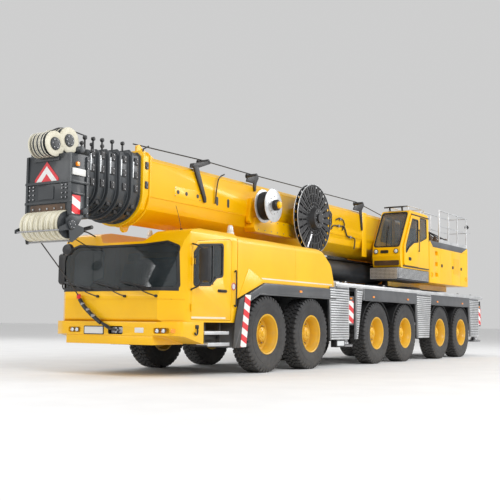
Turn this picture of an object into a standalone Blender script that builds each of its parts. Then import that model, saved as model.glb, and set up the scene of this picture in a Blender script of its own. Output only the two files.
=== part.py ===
"""Six-axle mobile crane with a telescopic boom, modelled as separate sub-parts.

Metres, +X forward, +Y to the left, +Z up, standing on z = 0.
Lengths along the machine are measured from the first axle; a parent empty puts the
origin on the ground under the middle of the machine's length.
"""

import math

import bpy
import bmesh
from mathutils import Matrix, Vector

# ---------------------------------------------------------------- driving dimensions

TOUCH = 0.0003              # gap between pieces that rest on each other
RUNNING = 0.0005            # gap at pins, bearings and slide pads
CLEAR = 0.012               # gap between pieces that move past each other
OVERLAP = 0.01              # how far joined shapes reach into each other

AXLES = (0.0, -1.65, -4.745, -6.395, -8.775, -10.425)
SIDES = (("left", 1), ("right", -1))

TYRE_RADIUS = 0.685
TYRE_WIDTH = 0.385
TYRE_PLANE = 1.1825         # middle of the tyre, from the centre line
RIM_RADIUS = 0.35
DISC_THICKNESS = 0.04
DISC_DEPTH = 0.03           # outer face of the disc, inboard of the tyre's middle
WHEEL_SEGMENTS = 20

KINGPIN_PLANE = 1.05
KINGPIN_RADIUS = 0.055
KINGPIN_HALF_HEIGHT = 0.19
DRUM_RADIUS = 0.16
DRUM_INSET = 0.02           # inner face of the brake drum, outboard of the king-pin
AXLE_TUBE = 0.11
YOKE_HALF_LENGTH = 0.05
YOKE_PLATE = 0.04
STRUT_RADIUS = 0.08
SHAFT_RADIUS = 0.05
DIFFERENTIAL = 0.20

FRAME_HALF_WIDTH = 0.45
FRAME_BOTTOM = 0.95
DECK_BOTTOM = 1.66
DECK_TOP = 1.74
DECK_REAR = -12.34
HALF_WIDTH = 1.36           # deck and fender edges
TAIL = -12.41               # back of the rear tow block

FENDER_EDGE = 1.41
FENDER_WALL = 0.05
FRONT_FENDER_TOP = 1.60
PANEL_BOTTOM = 0.56

BEAM_WIDTH = 0.26
BEAM_BOTTOM = 1.03
BEAM_TOP = 1.35
BEAM_TAIL = 1.23
BLOCK_WIDTH = 0.29
BLOCK_INNER = 0.99
BLOCK_OUTER = 1.32
BLOCK_BOTTOM = 0.86
BLOCK_TOP = 1.48
BOX_WALL = 0.03
OUTRIGGERS = {"front": (-3.475, -3.825), "rear": (-12.165, -11.815)}
JACK_RADIUS = 0.085
JACK_TUBE_BOTTOM = 0.62
FLOAT_RADIUS = 0.19
FLOAT_BOTTOM = 0.40
FLOAT_THICKNESS = 0.06

CAB_REAR = 0.98
CAB_FRONT = 2.72
CAB_HALF_WIDTH = 1.33
CAB_BOTTOM = 0.885
CAB_TOP = 2.42
CAB_WALL = 0.06
SCREEN_BOTTOM = 1.39
SCREEN_TOP = 2.14
SADDLE_HALF_WIDTH = 0.45
SADDLE_BOTTOM = 2.20
DOOR_FRONT = 2.30
DOOR_REAR = 1.15
DOOR_BOTTOM = 0.92
DOOR_TOP = 2.30
DOOR_GAP = 0.006
HINGE_RADIUS = 0.014
MIRROR_PLANE = 1.54

BUMPER_TOP = CAB_BOTTOM - TOUCH
BUMPER_BOTTOM = 0.52
BUMPER_FRONT = 2.74

HOOD_FRONT = 0.96
HOOD_REAR = -2.65
HOOD_TOP = 2.40
HOOD_WALL = 0.05
ENGINE_HALF_WIDTH = 0.44
ENGINE_REAR, ENGINE_FRONT, ENGINE_TOP = -1.75, -0.15, 2.25

SLEW_X = -8.20
RING_RADIUS = 0.95
RING_TOP = 1.85
BASE_PLATE_TOP = 1.90
BASE_HALF_WIDTH = 0.68
CHEEK_THICKNESS = 0.08
SUPER_REAR = -11.15
SUPER_FRONT = -6.90

BOOM_PIVOT = (-10.00, 3.00)
BOOM_REAR = -10.30
BOOM_FRONT = 2.48
BOOM_HALF_WIDTH = 0.52
BOOM_TOP = 3.60
BOOM_BOTTOM = 2.50
BOOM_CREASE = 2.95
BOOM_CORNER = 0.07
BOOM_WALL = 0.02
BOOM_STEP = BOOM_WALL + CLEAR
COLLAR_RISE = 0.045
COLLAR_FRONTS = (2.64, 2.89, 3.14, 3.36, 3.55, 3.73)
COLLAR_GAP = 0.02
TAIL_STEP = 0.15
HEAD_FRONT = 4.15
HEAD_HALF_WIDTH = 0.45
HEAD_TOP = 3.38
HEAD_BOTTOM = 2.42
HEAD_CHEEK = 0.04
SHEAVE_RADIUS = 0.22
SHEAVE_AXIS = (4.13, 2.30)
TOP_SHEAVES = ((4.22, 3.52, 0.19, 0.12), (3.93, 3.62, 0.20, 0.10))

LIFT_BASE = (-7.90, 2.17)
LIFT_EYE = (-3.60, 2.15)
LIFT_TUBE = 0.25
LIFT_BORE = 0.18
LIFT_ROD = 0.17
LIFT_PIN = 0.16
LIFT_HALF_WIDTH = 0.20
LIFT_TUBE_START = 0.30
LIFT_TUBE_LENGTH = 3.25

CRANE_CAB_INNER = 0.56
CRANE_CAB_OUTER = 1.29
CRANE_CAB_BOTTOM = 2.27
CRANE_CAB_WALL = 0.05
SLIDE_DOOR_REAR = -7.42
SLIDE_DOOR_THICKNESS = 0.035

HOUSING = ((-11.25, BASE_HALF_WIDTH + TOUCH, 1.99), (-8.20, 1.29, 3.10))
RAIL = 0.04
RAIL_TOP = 4.00

REEL_CENTRE = (-2.50, 3.07)
REEL_RADIUS = 0.725
DRUM_CENTRE = (-0.77, 3.14)
CABLE_FLANGE = 0.325
REEL_INNER = 0.76
REEL_OUTER = 1.10

WINCH_AXIS = (-10.78, 2.42)
WINCH_RADIUS = 0.33

YELLOW = (0.95, 0.62, 0.02)
DARK = (0.06, 0.065, 0.07)
GREY = (0.12, 0.125, 0.13)
SILVER = (0.55, 0.56, 0.57)
BLACK = (0.02, 0.02, 0.02)
CREAM = (0.80, 0.76, 0.62)
SEAT = (0.10, 0.10, 0.12)

ORIGIN_X = (TOP_SHEAVES[0][0] + TOP_SHEAVES[0][2] + TAIL) / 2


# ---------------------------------------------------------------- scene and helpers

def clear_scene():
    for obj in list(bpy.data.objects):
        bpy.data.objects.remove(obj, do_unlink=True)


def make_collection(name):
    collection = bpy.data.collections.new(name)
    bpy.context.scene.collection.children.link(collection)
    return collection


clear_scene()
PARTS = make_collection("mobile_crane")
CUTTERS = make_collection("cutters")
ORIGIN = bpy.data.objects.new("crane_origin", None)
ORIGIN.location = (-ORIGIN_X, 0.0, 0.0)
PARTS.objects.link(ORIGIN)


def make_material(name, colour, roughness, metallic):
    material = bpy.data.materials.new(name)
    material.use_nodes = True
    shader = material.node_tree.nodes["Principled BSDF"]
    shader.inputs["Base Color"].default_value = (*colour, 1.0)
    shader.inputs["Roughness"].default_value = roughness
    shader.inputs["Metallic"].default_value = metallic
    return material


def draft(mesh):
    """Puts a mesh in the cutter collection as a working shape."""
    obj = bpy.data.objects.new("draft", mesh)
    CUTTERS.objects.link(obj)
    obj.hide_render = True
    obj.display_type = "WIRE"
    return obj


def bake(obj, turn_out=True):
    """Turns a curve or an object with modifiers into a plain working mesh."""
    bpy.context.view_layer.update()
    graph = bpy.context.evaluated_depsgraph_get()
    mesh = bpy.data.meshes.new_from_object(obj.evaluated_get(graph))
    mesh.transform(obj.matrix_world)
    shell = bmesh.new()
    shell.from_mesh(mesh)
    bmesh.ops.remove_doubles(shell, verts=shell.verts, dist=0.00001)
    if turn_out:
        bmesh.ops.recalc_face_normals(shell, faces=shell.faces)
    shell.to_mesh(mesh)
    shell.free()
    bpy.data.objects.remove(obj, do_unlink=True)
    return draft(mesh)


def box(low, high, bevel=0.0, segments=1):
    shell = bmesh.new()
    bmesh.ops.create_cube(shell, size=1.0)
    for vert in shell.verts:
        for axis in range(3):
            middle = (low[axis] + high[axis]) / 2
            vert.co[axis] = middle + vert.co[axis] * (high[axis] - low[axis])
    mesh = bpy.data.meshes.new("box")
    shell.to_mesh(mesh)
    shell.free()
    obj = draft(mesh)
    if bevel:
        round_edges(obj, bevel, segments)
        obj = bake(obj)
    return obj


def cylinder(centre, radius, half_length, axis="Y", segments=24):
    """A round bar about an axis through the centre."""
    shell = bmesh.new()
    bmesh.ops.create_cone(shell, cap_ends=True, segments=segments, radius1=radius,
                          radius2=radius, depth=2 * half_length)
    turns = {"X": Matrix.Rotation(math.pi / 2, 4, "Y"), "Y": Matrix.Rotation(math.pi / 2, 4, "X"),
             "Z": Matrix.Identity(4)}
    shell.transform(Matrix.Translation(Vector(centre)) @ turns[axis])
    mesh = bpy.data.meshes.new("bar")
    shell.to_mesh(mesh)
    shell.free()
    return draft(mesh)


def round_edges(obj, width, segments=2, angle=40.0):
    bevel = obj.modifiers.new("round edges", "BEVEL")
    bevel.width = width
    bevel.segments = segments
    bevel.limit_method = "ANGLE"
    bevel.angle_limit = math.radians(angle)


def outline_curve(points, half_thickness):
    """A closed flat outline in the curve's own XY plane, given a thickness along Z."""
    curve = bpy.data.curves.new("outline", "CURVE")
    curve.dimensions = "2D"
    curve.fill_mode = "BOTH"
    curve.extrude = half_thickness
    spline = curve.splines.new("POLY")
    spline.points.add(len(points) - 1)
    for target, point in zip(spline.points, points):
        target.co = (point[0], point[1], 0.0, 1.0)
    spline.use_cyclic_u = True
    obj = bpy.data.objects.new("outline", curve)
    CUTTERS.objects.link(obj)
    return obj


def side_plate(points, y_low, y_high):
    """An (x, z) outline, as thick as the distance from y_low to y_high."""
    obj = outline_curve(points, (y_high - y_low) / 2)
    obj.rotation_euler = (math.pi / 2, 0.0, 0.0)
    obj.location = (0.0, (y_low + y_high) / 2, 0.0)
    return bake(obj)


def floor_plate(points, z_low, z_high):
    """An (x, y) outline, as thick as the distance from z_low to z_high."""
    obj = outline_curve(points, (z_high - z_low) / 2)
    obj.location = (0.0, 0.0, (z_low + z_high) / 2)
    return bake(obj)


def cross_plate(points, x_low, x_high):
    """A (y, z) outline, as long as the distance from x_low to x_high."""
    obj = outline_curve(points, (x_high - x_low) / 2)
    obj.rotation_euler = (math.pi / 2, 0.0, math.pi / 2)
    obj.location = ((x_low + x_high) / 2, 0.0, 0.0)
    return bake(obj)


def turned(profile, centre, turn, segments=24):
    """An (along, radius) profile, from one end of its axis to the other, turned about it."""
    mesh = bpy.data.meshes.new("profile")
    verts = [(radius, 0.0, -along) for along, radius in profile]
    mesh.from_pydata(verts, [(i, i + 1) for i in range(len(verts) - 1)], [])
    obj = draft(mesh)
    screw = obj.modifiers.new("turn", "SCREW")
    screw.steps = segments
    screw.render_steps = segments
    screw.use_merge_vertices = True
    screw.merge_threshold = 0.0001
    obj.matrix_world = Matrix.Translation(Vector(centre)) @ turn
    return bake(obj)


ALONG_PLUS_Y = Matrix.Rotation(math.pi / 2, 4, "X")
ALONG_MINUS_Y = Matrix.Rotation(-math.pi / 2, 4, "X")
ALONG_PLUS_X = Matrix.Rotation(-math.pi / 2, 4, "Y")


def combine(first, others, operation):
    for other in others:
        step = first.modifiers.new(operation.lower(), "BOOLEAN")
        step.operation = operation
        step.solver = "EXACT"
        step.object = other
    result = bake(first, turn_out=False)
    for other in others:
        bpy.data.objects.remove(other, do_unlink=True)
    return result


def join(pieces):
    return combine(pieces[0], pieces[1:], "UNION")


def cut(piece, cutters):
    return combine(piece, cutters, "DIFFERENCE")


def mirrored(piece):
    """The same working shape on the other side of the centre line."""
    mesh = piece.data.copy()
    mesh.transform(Matrix.Diagonal((1.0, -1.0, 1.0, 1.0)))
    mesh.flip_normals()
    return draft(mesh)


def finish(piece, name, colour, roughness=0.4, metallic=0.0, pivot=(0.0, 0.0, 0.0)):
    """Names a working shape as a sub-part, with its material and its origin on its pivot."""
    piece.data.transform(Matrix.Translation(-Vector(pivot)))
    piece.data.name = name
    piece.data.materials.clear()
    piece.data.materials.append(make_material(name, colour, roughness, metallic))
    piece.data.shade_smooth()
    piece.data.set_sharp_from_angle(angle=math.radians(35))
    CUTTERS.objects.unlink(piece)
    PARTS.objects.link(piece)
    piece.name = name
    piece.parent = ORIGIN
    piece.location = pivot
    piece.hide_render = False
    piece.display_type = "TEXTURED"
    return piece


# ---------------------------------------------------------------- wheels and axles

def wheel_profile():
    """Disc, deep rim and tyre in one closed section; along is outboard of the tyre's middle."""
    half = TYRE_WIDTH / 2
    outer_face = -DISC_DEPTH
    inner_face = outer_face - DISC_THICKNESS
    well = RIM_RADIUS - 0.05
    return [
        (outer_face, 0.0), (outer_face, well), (half - 0.04, RIM_RADIUS), (half, 0.52),
        (half - 0.022, TYRE_RADIUS - 0.035), (half - 0.06, TYRE_RADIUS),
        (0.06 - half, TYRE_RADIUS), (0.022 - half, TYRE_RADIUS - 0.035), (-half, 0.52),
        (0.04 - half, RIM_RADIUS), (inner_face, well), (inner_face, 0.0),
    ]


def build_wheel(number, x, side, sign):
    centre = (x, sign * TYRE_PLANE, TYRE_RADIUS)
    turn = ALONG_PLUS_Y if sign > 0 else ALONG_MINUS_Y
    piece = turned(wheel_profile(), centre, turn, WHEEL_SEGMENTS)
    finish(piece, f"wheel_{number}_{side}", BLACK, 0.8, pivot=centre)


def build_knuckle(number, x, side, sign):
    """A king-pin barrel with the brake drum and hub on its outer side."""
    pivot = (x, sign * KINGPIN_PLANE, TYRE_RADIUS)
    hub_face = TYRE_PLANE - DISC_DEPTH - DISC_THICKNESS - RUNNING
    barrel = cylinder(pivot, KINGPIN_RADIUS, KINGPIN_HALF_HEIGHT, "Z", 12)
    drum_inner = KINGPIN_PLANE + DRUM_INSET
    drum_middle = sign * (drum_inner + hub_face) / 2
    drum = cylinder((x, drum_middle, TYRE_RADIUS), DRUM_RADIUS, (hub_face - drum_inner) / 2, "Y", 12)
    finish(join([barrel, drum]), f"knuckle_{number}_{side}", DARK, 0.6, pivot=pivot)


def axle_shapes(x):
    """One axle: tube, differential, struts and the yokes that hold the king-pin barrels."""
    yoke_face = KINGPIN_PLANE - KINGPIN_RADIUS - RUNNING
    arm_bottom = KINGPIN_HALF_HEIGHT + RUNNING
    arm_top = arm_bottom + YOKE_PLATE
    shapes = [cylinder((x, 0.0, TYRE_RADIUS), AXLE_TUBE, yoke_face - OVERLAP, "Y", 8)]
    shapes.append(box((x - DIFFERENTIAL, -DIFFERENTIAL, TYRE_RADIUS - DIFFERENTIAL),
                      (x + DIFFERENTIAL, DIFFERENTIAL, TYRE_RADIUS + DIFFERENTIAL)))
    strut_y = FRAME_HALF_WIDTH + TOUCH + STRUT_RADIUS
    for _, sign in SIDES:
        y_near, y_far = sorted((sign * (yoke_face - 0.07), sign * yoke_face))
        shapes.append(box((x - 0.07, y_near, TYRE_RADIUS - arm_top), (x + 0.07, y_far, TYRE_RADIUS + arm_top)))
        y_near, y_far = sorted((sign * (yoke_face - OVERLAP), sign * (KINGPIN_PLANE + 0.02)))
        for low, high in ((arm_bottom, arm_top), (-arm_top, -arm_bottom)):
            shapes.append(box((x - YOKE_HALF_LENGTH, y_near, TYRE_RADIUS + low),
                              (x + YOKE_HALF_LENGTH, y_far, TYRE_RADIUS + high)))
        middle = (TYRE_RADIUS + FENDER_EDGE) / 2
        shapes.append(cylinder((x, sign * strut_y, middle), STRUT_RADIUS,
                               (FENDER_EDGE - TYRE_RADIUS) / 2, "Z", 8))
    return shapes


def build_axle_group(name, axles):
    shapes = []
    for x in axles:
        shapes += axle_shapes(x)
    middle = (axles[0] + axles[-1]) / 2
    half = (axles[0] - axles[-1]) / 2
    shapes.append(cylinder((middle, 0.0, TYRE_RADIUS), SHAFT_RADIUS, half, "X", 8))
    finish(join(shapes), name, DARK, 0.6)


# ---------------------------------------------------------------- frame, deck and outriggers

def outrigger_layout():
    """Each beam: name, x of its middle and the side it comes out on."""
    for place, (left_x, right_x) in OUTRIGGERS.items():
        yield f"{place}_left", left_x, 1
        yield f"{place}_right", right_x, -1


def tunnel_shapes(x, sign):
    """The guide box of one beam and the slot through it."""
    half = BEAM_WIDTH / 2 + CLEAR
    outer = BLOCK_INNER - 0.006
    y_low, y_high = sorted((sign * outer, -sign * (BEAM_TAIL + 0.02)))
    guide = box((x - half - BOX_WALL, y_low, BEAM_BOTTOM - RUNNING - BOX_WALL),
                (x + half + BOX_WALL, y_high, BEAM_TOP + CLEAR + BOX_WALL))
    slot = box((x - half, y_low - 0.1, BEAM_BOTTOM - RUNNING), (x + half, y_high + 0.1, BEAM_TOP + CLEAR))
    return guide, slot


def bumper_shape():
    half = CAB_HALF_WIDTH
    corner = 0.33
    outline = [(BUMPER_FRONT, corner - half), (BUMPER_FRONT, half - corner), (BUMPER_FRONT - 0.20, half),
               (1.94, half), (1.94, -half), (BUMPER_FRONT - 0.20, -half)]
    bar = floor_plate(outline, BUMPER_BOTTOM, BUMPER_TOP)
    notch = side_plate([(1.80, 0.40), (1.94, 0.52), (2.50, 0.66), (2.80, 0.68), (2.80, 0.40)], 0.9, 1.5)
    return cut(bar, [mirrored(notch), notch])


def build_chassis_frame():
    half = FRAME_HALF_WIDTH
    outline = [(2.10, BUMPER_BOTTOM + 0.04), (2.10, BUMPER_TOP), (0.80, BUMPER_TOP), (0.45, FRONT_FENDER_TOP - TOUCH),
               (HOOD_REAR - 0.03, FRONT_FENDER_TOP - TOUCH), (HOOD_REAR - 0.03, DECK_BOTTOM - TOUCH),
               (-12.20, DECK_BOTTOM - TOUCH), (-12.20, FRAME_BOTTOM), (0.30, FRAME_BOTTOM),
               (0.75, 0.62), (1.00, BUMPER_BOTTOM + 0.04)]
    shapes = [side_plate(outline, -half, half), bumper_shape()]
    slots = []
    for _, x, sign in outrigger_layout():
        guide, slot = tunnel_shapes(x, sign)
        shapes.append(guide)
        slots.append(slot)
    shapes.append(box((TAIL, -0.20, 1.00), (-12.10, 0.20, 1.30)))
    body = cut(join(shapes), slots)
    finish(body, "chassis_frame", DARK, 0.6)


def build_outriggers():
    for name, x, sign in outrigger_layout():
        block_y = sign * (BLOCK_INNER + BLOCK_OUTER) / 2
        y_low, y_high = sorted((sign * (BLOCK_INNER + 0.05), -sign * BEAM_TAIL))
        beam = box((x - BEAM_WIDTH / 2, y_low, BEAM_BOTTOM), (x + BEAM_WIDTH / 2, y_high, BEAM_TOP))
        y_low, y_high = sorted((sign * BLOCK_INNER, sign * BLOCK_OUTER))
        block = box((x - BLOCK_WIDTH / 2, y_low, BLOCK_BOTTOM), (x + BLOCK_WIDTH / 2, y_high, BLOCK_TOP))
        jack_top = BLOCK_TOP - 0.06
        tube = cylinder((x, block_y, (JACK_TUBE_BOTTOM + BLOCK_BOTTOM + OVERLAP) / 2), JACK_RADIUS + 0.035,
                        (BLOCK_BOTTOM + OVERLAP - JACK_TUBE_BOTTOM) / 2, "Z", 16)
        bore_bottom = JACK_TUBE_BOTTOM - 0.1
        bore = cylinder((x, block_y, (jack_top + bore_bottom) / 2), JACK_RADIUS + RUNNING,
                        (jack_top - bore_bottom) / 2, "Z", 16)
        finish(cut(join([beam, block, tube]), [bore]), f"outrigger_beam_{name}", GREY, 0.5)
        float_top = FLOAT_BOTTOM + FLOAT_THICKNESS
        piston_top = jack_top - 0.01
        piston = cylinder((x, block_y, (piston_top + float_top) / 2), JACK_RADIUS,
                          (piston_top - float_top) / 2 + OVERLAP / 2, "Z", 16)
        pad = cylinder((x, block_y, FLOAT_BOTTOM + FLOAT_THICKNESS / 2), FLOAT_RADIUS,
                       FLOAT_THICKNESS / 2, "Z", 20)
        finish(join([piston, pad]), f"outrigger_jack_{name}", SILVER, 0.3, 1.0)


def front_fender_outline():
    """The arch over the first two axles, closed down to the striped board ahead of them."""
    return [(HOOD_REAR - 0.06, FRONT_FENDER_TOP), (0.10, FRONT_FENDER_TOP), (0.90, 1.27), (0.965, 0.90),
            (1.12, 0.46), (1.07, 0.46), (0.86, 0.90), (0.69, 1.24), (0.30, FENDER_EDGE - 0.01),
            (HOOD_REAR - 0.06, FENDER_EDGE - 0.01)]


def side_panels(sign):
    """Checker panels between the axles: x at the top front, top rear, bottom rear, bottom front."""
    front = OUTRIGGERS["front"]
    rear = OUTRIGGERS["rear"]
    gap = BLOCK_WIDTH / 2 + 0.012
    if sign > 0:
        first_rear = front[0] + gap
        last_rear = rear[0] + gap
        strip = (front[0] - gap - 0.06, -4.02, -3.75, front[0] - gap - 0.06)
    else:
        first_rear = front[1] + gap
        last_rear = rear[1] + gap
        strip = None
    panels = [(-2.42, first_rear, first_rear, -2.48), (-7.11, -8.14, -7.98, -7.24),
              (-11.15, last_rear, last_rear, -11.28)]
    if strip:
        panels.append(strip)
    return panels


def build_deck():
    """Deck plate, edge skirts over the wheels and the panels between them, in one piece."""
    deck = box((DECK_REAR, -HALF_WIDTH, DECK_BOTTOM), (HOOD_REAR - 0.02, HALF_WIDTH, DECK_TOP))
    shapes = [deck]
    for _, sign in SIDES:
        inner, outer = HALF_WIDTH - FENDER_WALL, HALF_WIDTH
        y_low, y_high = sorted((sign * inner, sign * outer))
        for front, rear in ((-4.07, -7.14), (-8.12, -11.18)):
            shapes.append(box((rear, y_low, FENDER_EDGE), (front, y_high, DECK_BOTTOM + OVERLAP)))
        for top_front, top_rear, low_rear, low_front in side_panels(sign):
            outline = [(top_rear, DECK_BOTTOM + OVERLAP), (low_rear, PANEL_BOTTOM), (low_front, PANEL_BOTTOM)]
            if top_front > HOOD_REAR:
                outline += [(top_front, FRONT_FENDER_TOP - 0.01), (HOOD_REAR - 0.03, FRONT_FENDER_TOP - 0.01),
                            (HOOD_REAR - 0.03, DECK_BOTTOM + OVERLAP)]
            else:
                outline.append((top_front, DECK_BOTTOM + OVERLAP))
            shapes.append(side_plate(outline, *sorted((sign * (outer - 0.06), sign * (outer - 0.01)))))
        y_low, y_high = sorted((sign * (FRAME_HALF_WIDTH + TOUCH), sign * outer))
        shapes.append(cut(side_plate(front_fender_outline(), y_low, y_high), [fender_hollow(sign)]))
        shapes.append(box((HOOD_REAR - 0.10, y_low, FRONT_FENDER_TOP - 0.05),
                          (HOOD_REAR - 0.01, y_high, DECK_TOP - 0.01)))
    finish(join(shapes), "deck_and_fenders", SILVER, 0.45, 0.6)


def fender_hollow(sign):
    """The space inside the front fender, which leaves its top, its outer skirt and its front."""
    outline = [(HOOD_REAR - 0.20, FRONT_FENDER_TOP - FENDER_WALL), (0.08, FRONT_FENDER_TOP - FENDER_WALL),
               (0.80, 1.22), (0.82, 0.95), (0.60, 0.40), (HOOD_REAR - 0.20, 0.40)]
    y_low, y_high = sorted((sign * 0.3, sign * (HALF_WIDTH - FENDER_WALL)))
    return side_plate(outline, y_low, y_high)


# ---------------------------------------------------------------- carrier cab and hood

def cab_outline(inset=0.0):
    """Side view of the cab, each wall moved in by the inset."""
    return [(CAB_REAR + inset, CAB_BOTTOM + inset), (CAB_FRONT - inset, CAB_BOTTOM + inset),
            (CAB_FRONT - inset, 1.30), (2.44 - inset, 2.18), (2.30 - inset, 2.36 - inset),
            (1.95, CAB_TOP - inset), (CAB_REAR + inset, CAB_TOP - inset)]


def cab_plan(inset=0.0):
    """Plan of the cab with its corners cut off at the front."""
    half = CAB_HALF_WIDTH - inset
    front = CAB_FRONT + 0.1
    return [(CAB_REAR - 0.1, -half), (2.40, -half), (front - inset, -half + 0.47),
            (front - inset, half - 0.47), (2.40, half), (CAB_REAR - 0.1, half)]


def cab_solid(inset):
    """The cab's outer or inner body, with the roof lowered under the boom."""
    body = side_plate(cab_outline(inset), -CAB_HALF_WIDTH - 0.1, CAB_HALF_WIDTH + 0.1)
    plan = floor_plate(cab_plan(inset), CAB_BOTTOM - 0.1, CAB_TOP + 0.1)
    body = combine(body, [plan], "INTERSECT")
    half = SADDLE_HALF_WIDTH + inset
    low = SADDLE_BOTTOM - inset
    saddle = cross_plate([(-half - 0.2, CAB_TOP + 0.05), (-half, low), (half, low),
                          (half + 0.2, CAB_TOP + 0.05)], CAB_REAR - 0.1, CAB_FRONT + 0.1)
    return cut(body, [saddle])


def door_outline(inset=0.0):
    return [(DOOR_REAR + inset, DOOR_BOTTOM + inset), (DOOR_FRONT - inset, DOOR_BOTTOM + inset),
            (DOOR_FRONT - inset, 2.05), (DOOR_FRONT - 0.16 - inset, DOOR_TOP - 0.10 - inset),
            (DOOR_REAR + 0.06 + inset, DOOR_TOP - inset), (DOOR_REAR + inset, DOOR_TOP - 0.06 - inset)]


def door_window():
    return [(1.42, 1.66), (1.60, 1.63), (1.78, 1.50), (2.22, 1.48), (2.22, 2.00), (2.08, 2.13), (1.42, 2.19)]


def build_carrier_cab():
    shell = cut(cab_solid(0.0), [cab_solid(CAB_WALL)])
    half = CAB_HALF_WIDTH
    doorway = side_plate(door_outline(), half - CAB_WALL - 0.05, half + 0.2)
    screen_plan = [(1.90, -1.06), (3.00, -1.06), (3.00, 1.06), (1.90, 1.06)]
    screen = floor_plate(screen_plan, SCREEN_BOTTOM, SCREEN_TOP - 0.02)
    quarter = floor_plate([(2.345, 1.20), (2.44, 1.50), (3.00, 1.10), (2.62, 0.98)], SCREEN_BOTTOM + 0.02, 1.98)
    rear_window = box((CAB_REAR - 0.1, -0.95, 1.50), (CAB_REAR + 0.2, 0.95, 2.05))
    shell = cut(shell, [mirrored(doorway), doorway, screen, mirrored(quarter), quarter, rear_window])
    finish(shell, "carrier_cab", YELLOW, 0.3)


def build_carrier_doors():
    for side, sign in SIDES:
        y_low, y_high = sorted((sign * (CAB_HALF_WIDTH - CAB_WALL), sign * CAB_HALF_WIDTH))
        panel = side_plate(door_outline(DOOR_GAP), y_low, y_high)
        window = side_plate(door_window(), y_low - 0.1, y_high + 0.1)
        panel = cut(panel, [window])
        arm_low, arm_high = sorted((sign * (CAB_HALF_WIDTH - OVERLAP), sign * MIRROR_PLANE))
        arm = box((2.25, arm_low, 2.02), (2.285, arm_high, 2.055))
        glass_low, glass_high = sorted((sign * (MIRROR_PLANE - 0.10), sign * (MIRROR_PLANE + 0.10)))
        mirror = box((2.19, glass_low, 1.52), (2.27, glass_high, 2.08), 0.02)
        hinge_y = sign * (CAB_HALF_WIDTH + TOUCH + HINGE_RADIUS)
        shapes = [panel, arm, mirror]
        for z in (1.12, 1.86):
            shapes.append(cylinder((DOOR_FRONT, hinge_y, z), HINGE_RADIUS, 0.06, "Z", 12))
            leaf_low, leaf_high = sorted((sign * (CAB_HALF_WIDTH - OVERLAP), hinge_y))
            shapes.append(box((DOOR_FRONT - 0.06, leaf_low, z - 0.05), (DOOR_FRONT - DOOR_GAP, leaf_high, z + 0.05)))
        pivot = (DOOR_FRONT, hinge_y, DOOR_BOTTOM)
        finish(join(shapes), f"carrier_door_{side}", YELLOW, 0.3, pivot=pivot)


def build_cab_interior():
    """Floor mat, dashboard and two seats, standing on the cab's floor."""
    floor = CAB_BOTTOM + CAB_WALL + TOUCH
    shapes = [box((1.10, -1.12, floor), (2.44, 1.12, floor + 0.04))]
    shapes.append(side_plate([(2.10, floor + 0.03), (2.52, floor + 0.03), (2.60, 1.30), (2.30, 1.38), (2.12, 1.30)],
                             -0.95, 0.95))
    for _, sign in SIDES:
        y_low, y_high = sign * 0.78 - 0.26, sign * 0.78 + 0.26
        shapes.append(box((1.25, y_low + 0.1, floor + 0.03), (1.65, y_high - 0.1, 1.22)))
        shapes.append(box((1.22, y_low, 1.20), (1.76, y_high, 1.36), 0.04))
        shapes.append(side_plate([(1.32, 1.28), (1.19, 1.92), (1.09, 1.90), (1.13, 1.23)], y_low + 0.01, y_high - 0.01))
    finish(join(shapes), "cab_interior", SEAT, 0.8)


def build_hood():
    outer = [(HOOD_FRONT, 1.31), (0.12, FRONT_FENDER_TOP + 0.01), (HOOD_REAR, FRONT_FENDER_TOP + 0.01),
             (HOOD_REAR, 1.75), (-2.52, 2.09), (-2.05, HOOD_TOP), (HOOD_FRONT, HOOD_TOP)]
    shell = side_plate(outer, -CAB_HALF_WIDTH, CAB_HALF_WIDTH)
    round_edges(shell, 0.08, 2, 60.0)
    shell = bake(shell)
    wall = HOOD_WALL
    inner = [(HOOD_FRONT - wall, 1.00), (-2.60 + wall, 1.00), (wall - 2.60, 1.76), (wall - 2.48, 2.06),
             (-2.03, HOOD_TOP - wall), (HOOD_FRONT - wall, HOOD_TOP - wall)]
    hollow = side_plate(inner, wall - CAB_HALF_WIDTH, CAB_HALF_WIDTH - wall)
    shell = cut(shell, [hollow])
    shell.location.z = TOUCH - 0.01
    finish(bake(shell), "engine_hood", YELLOW, 0.3)


def build_engine():
    block = box((ENGINE_REAR, -ENGINE_HALF_WIDTH, FRONT_FENDER_TOP), (ENGINE_FRONT, ENGINE_HALF_WIDTH, ENGINE_TOP))
    finish(block, "engine_block", GREY, 0.6, 0.5)


# ---------------------------------------------------------------- superstructure

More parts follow.
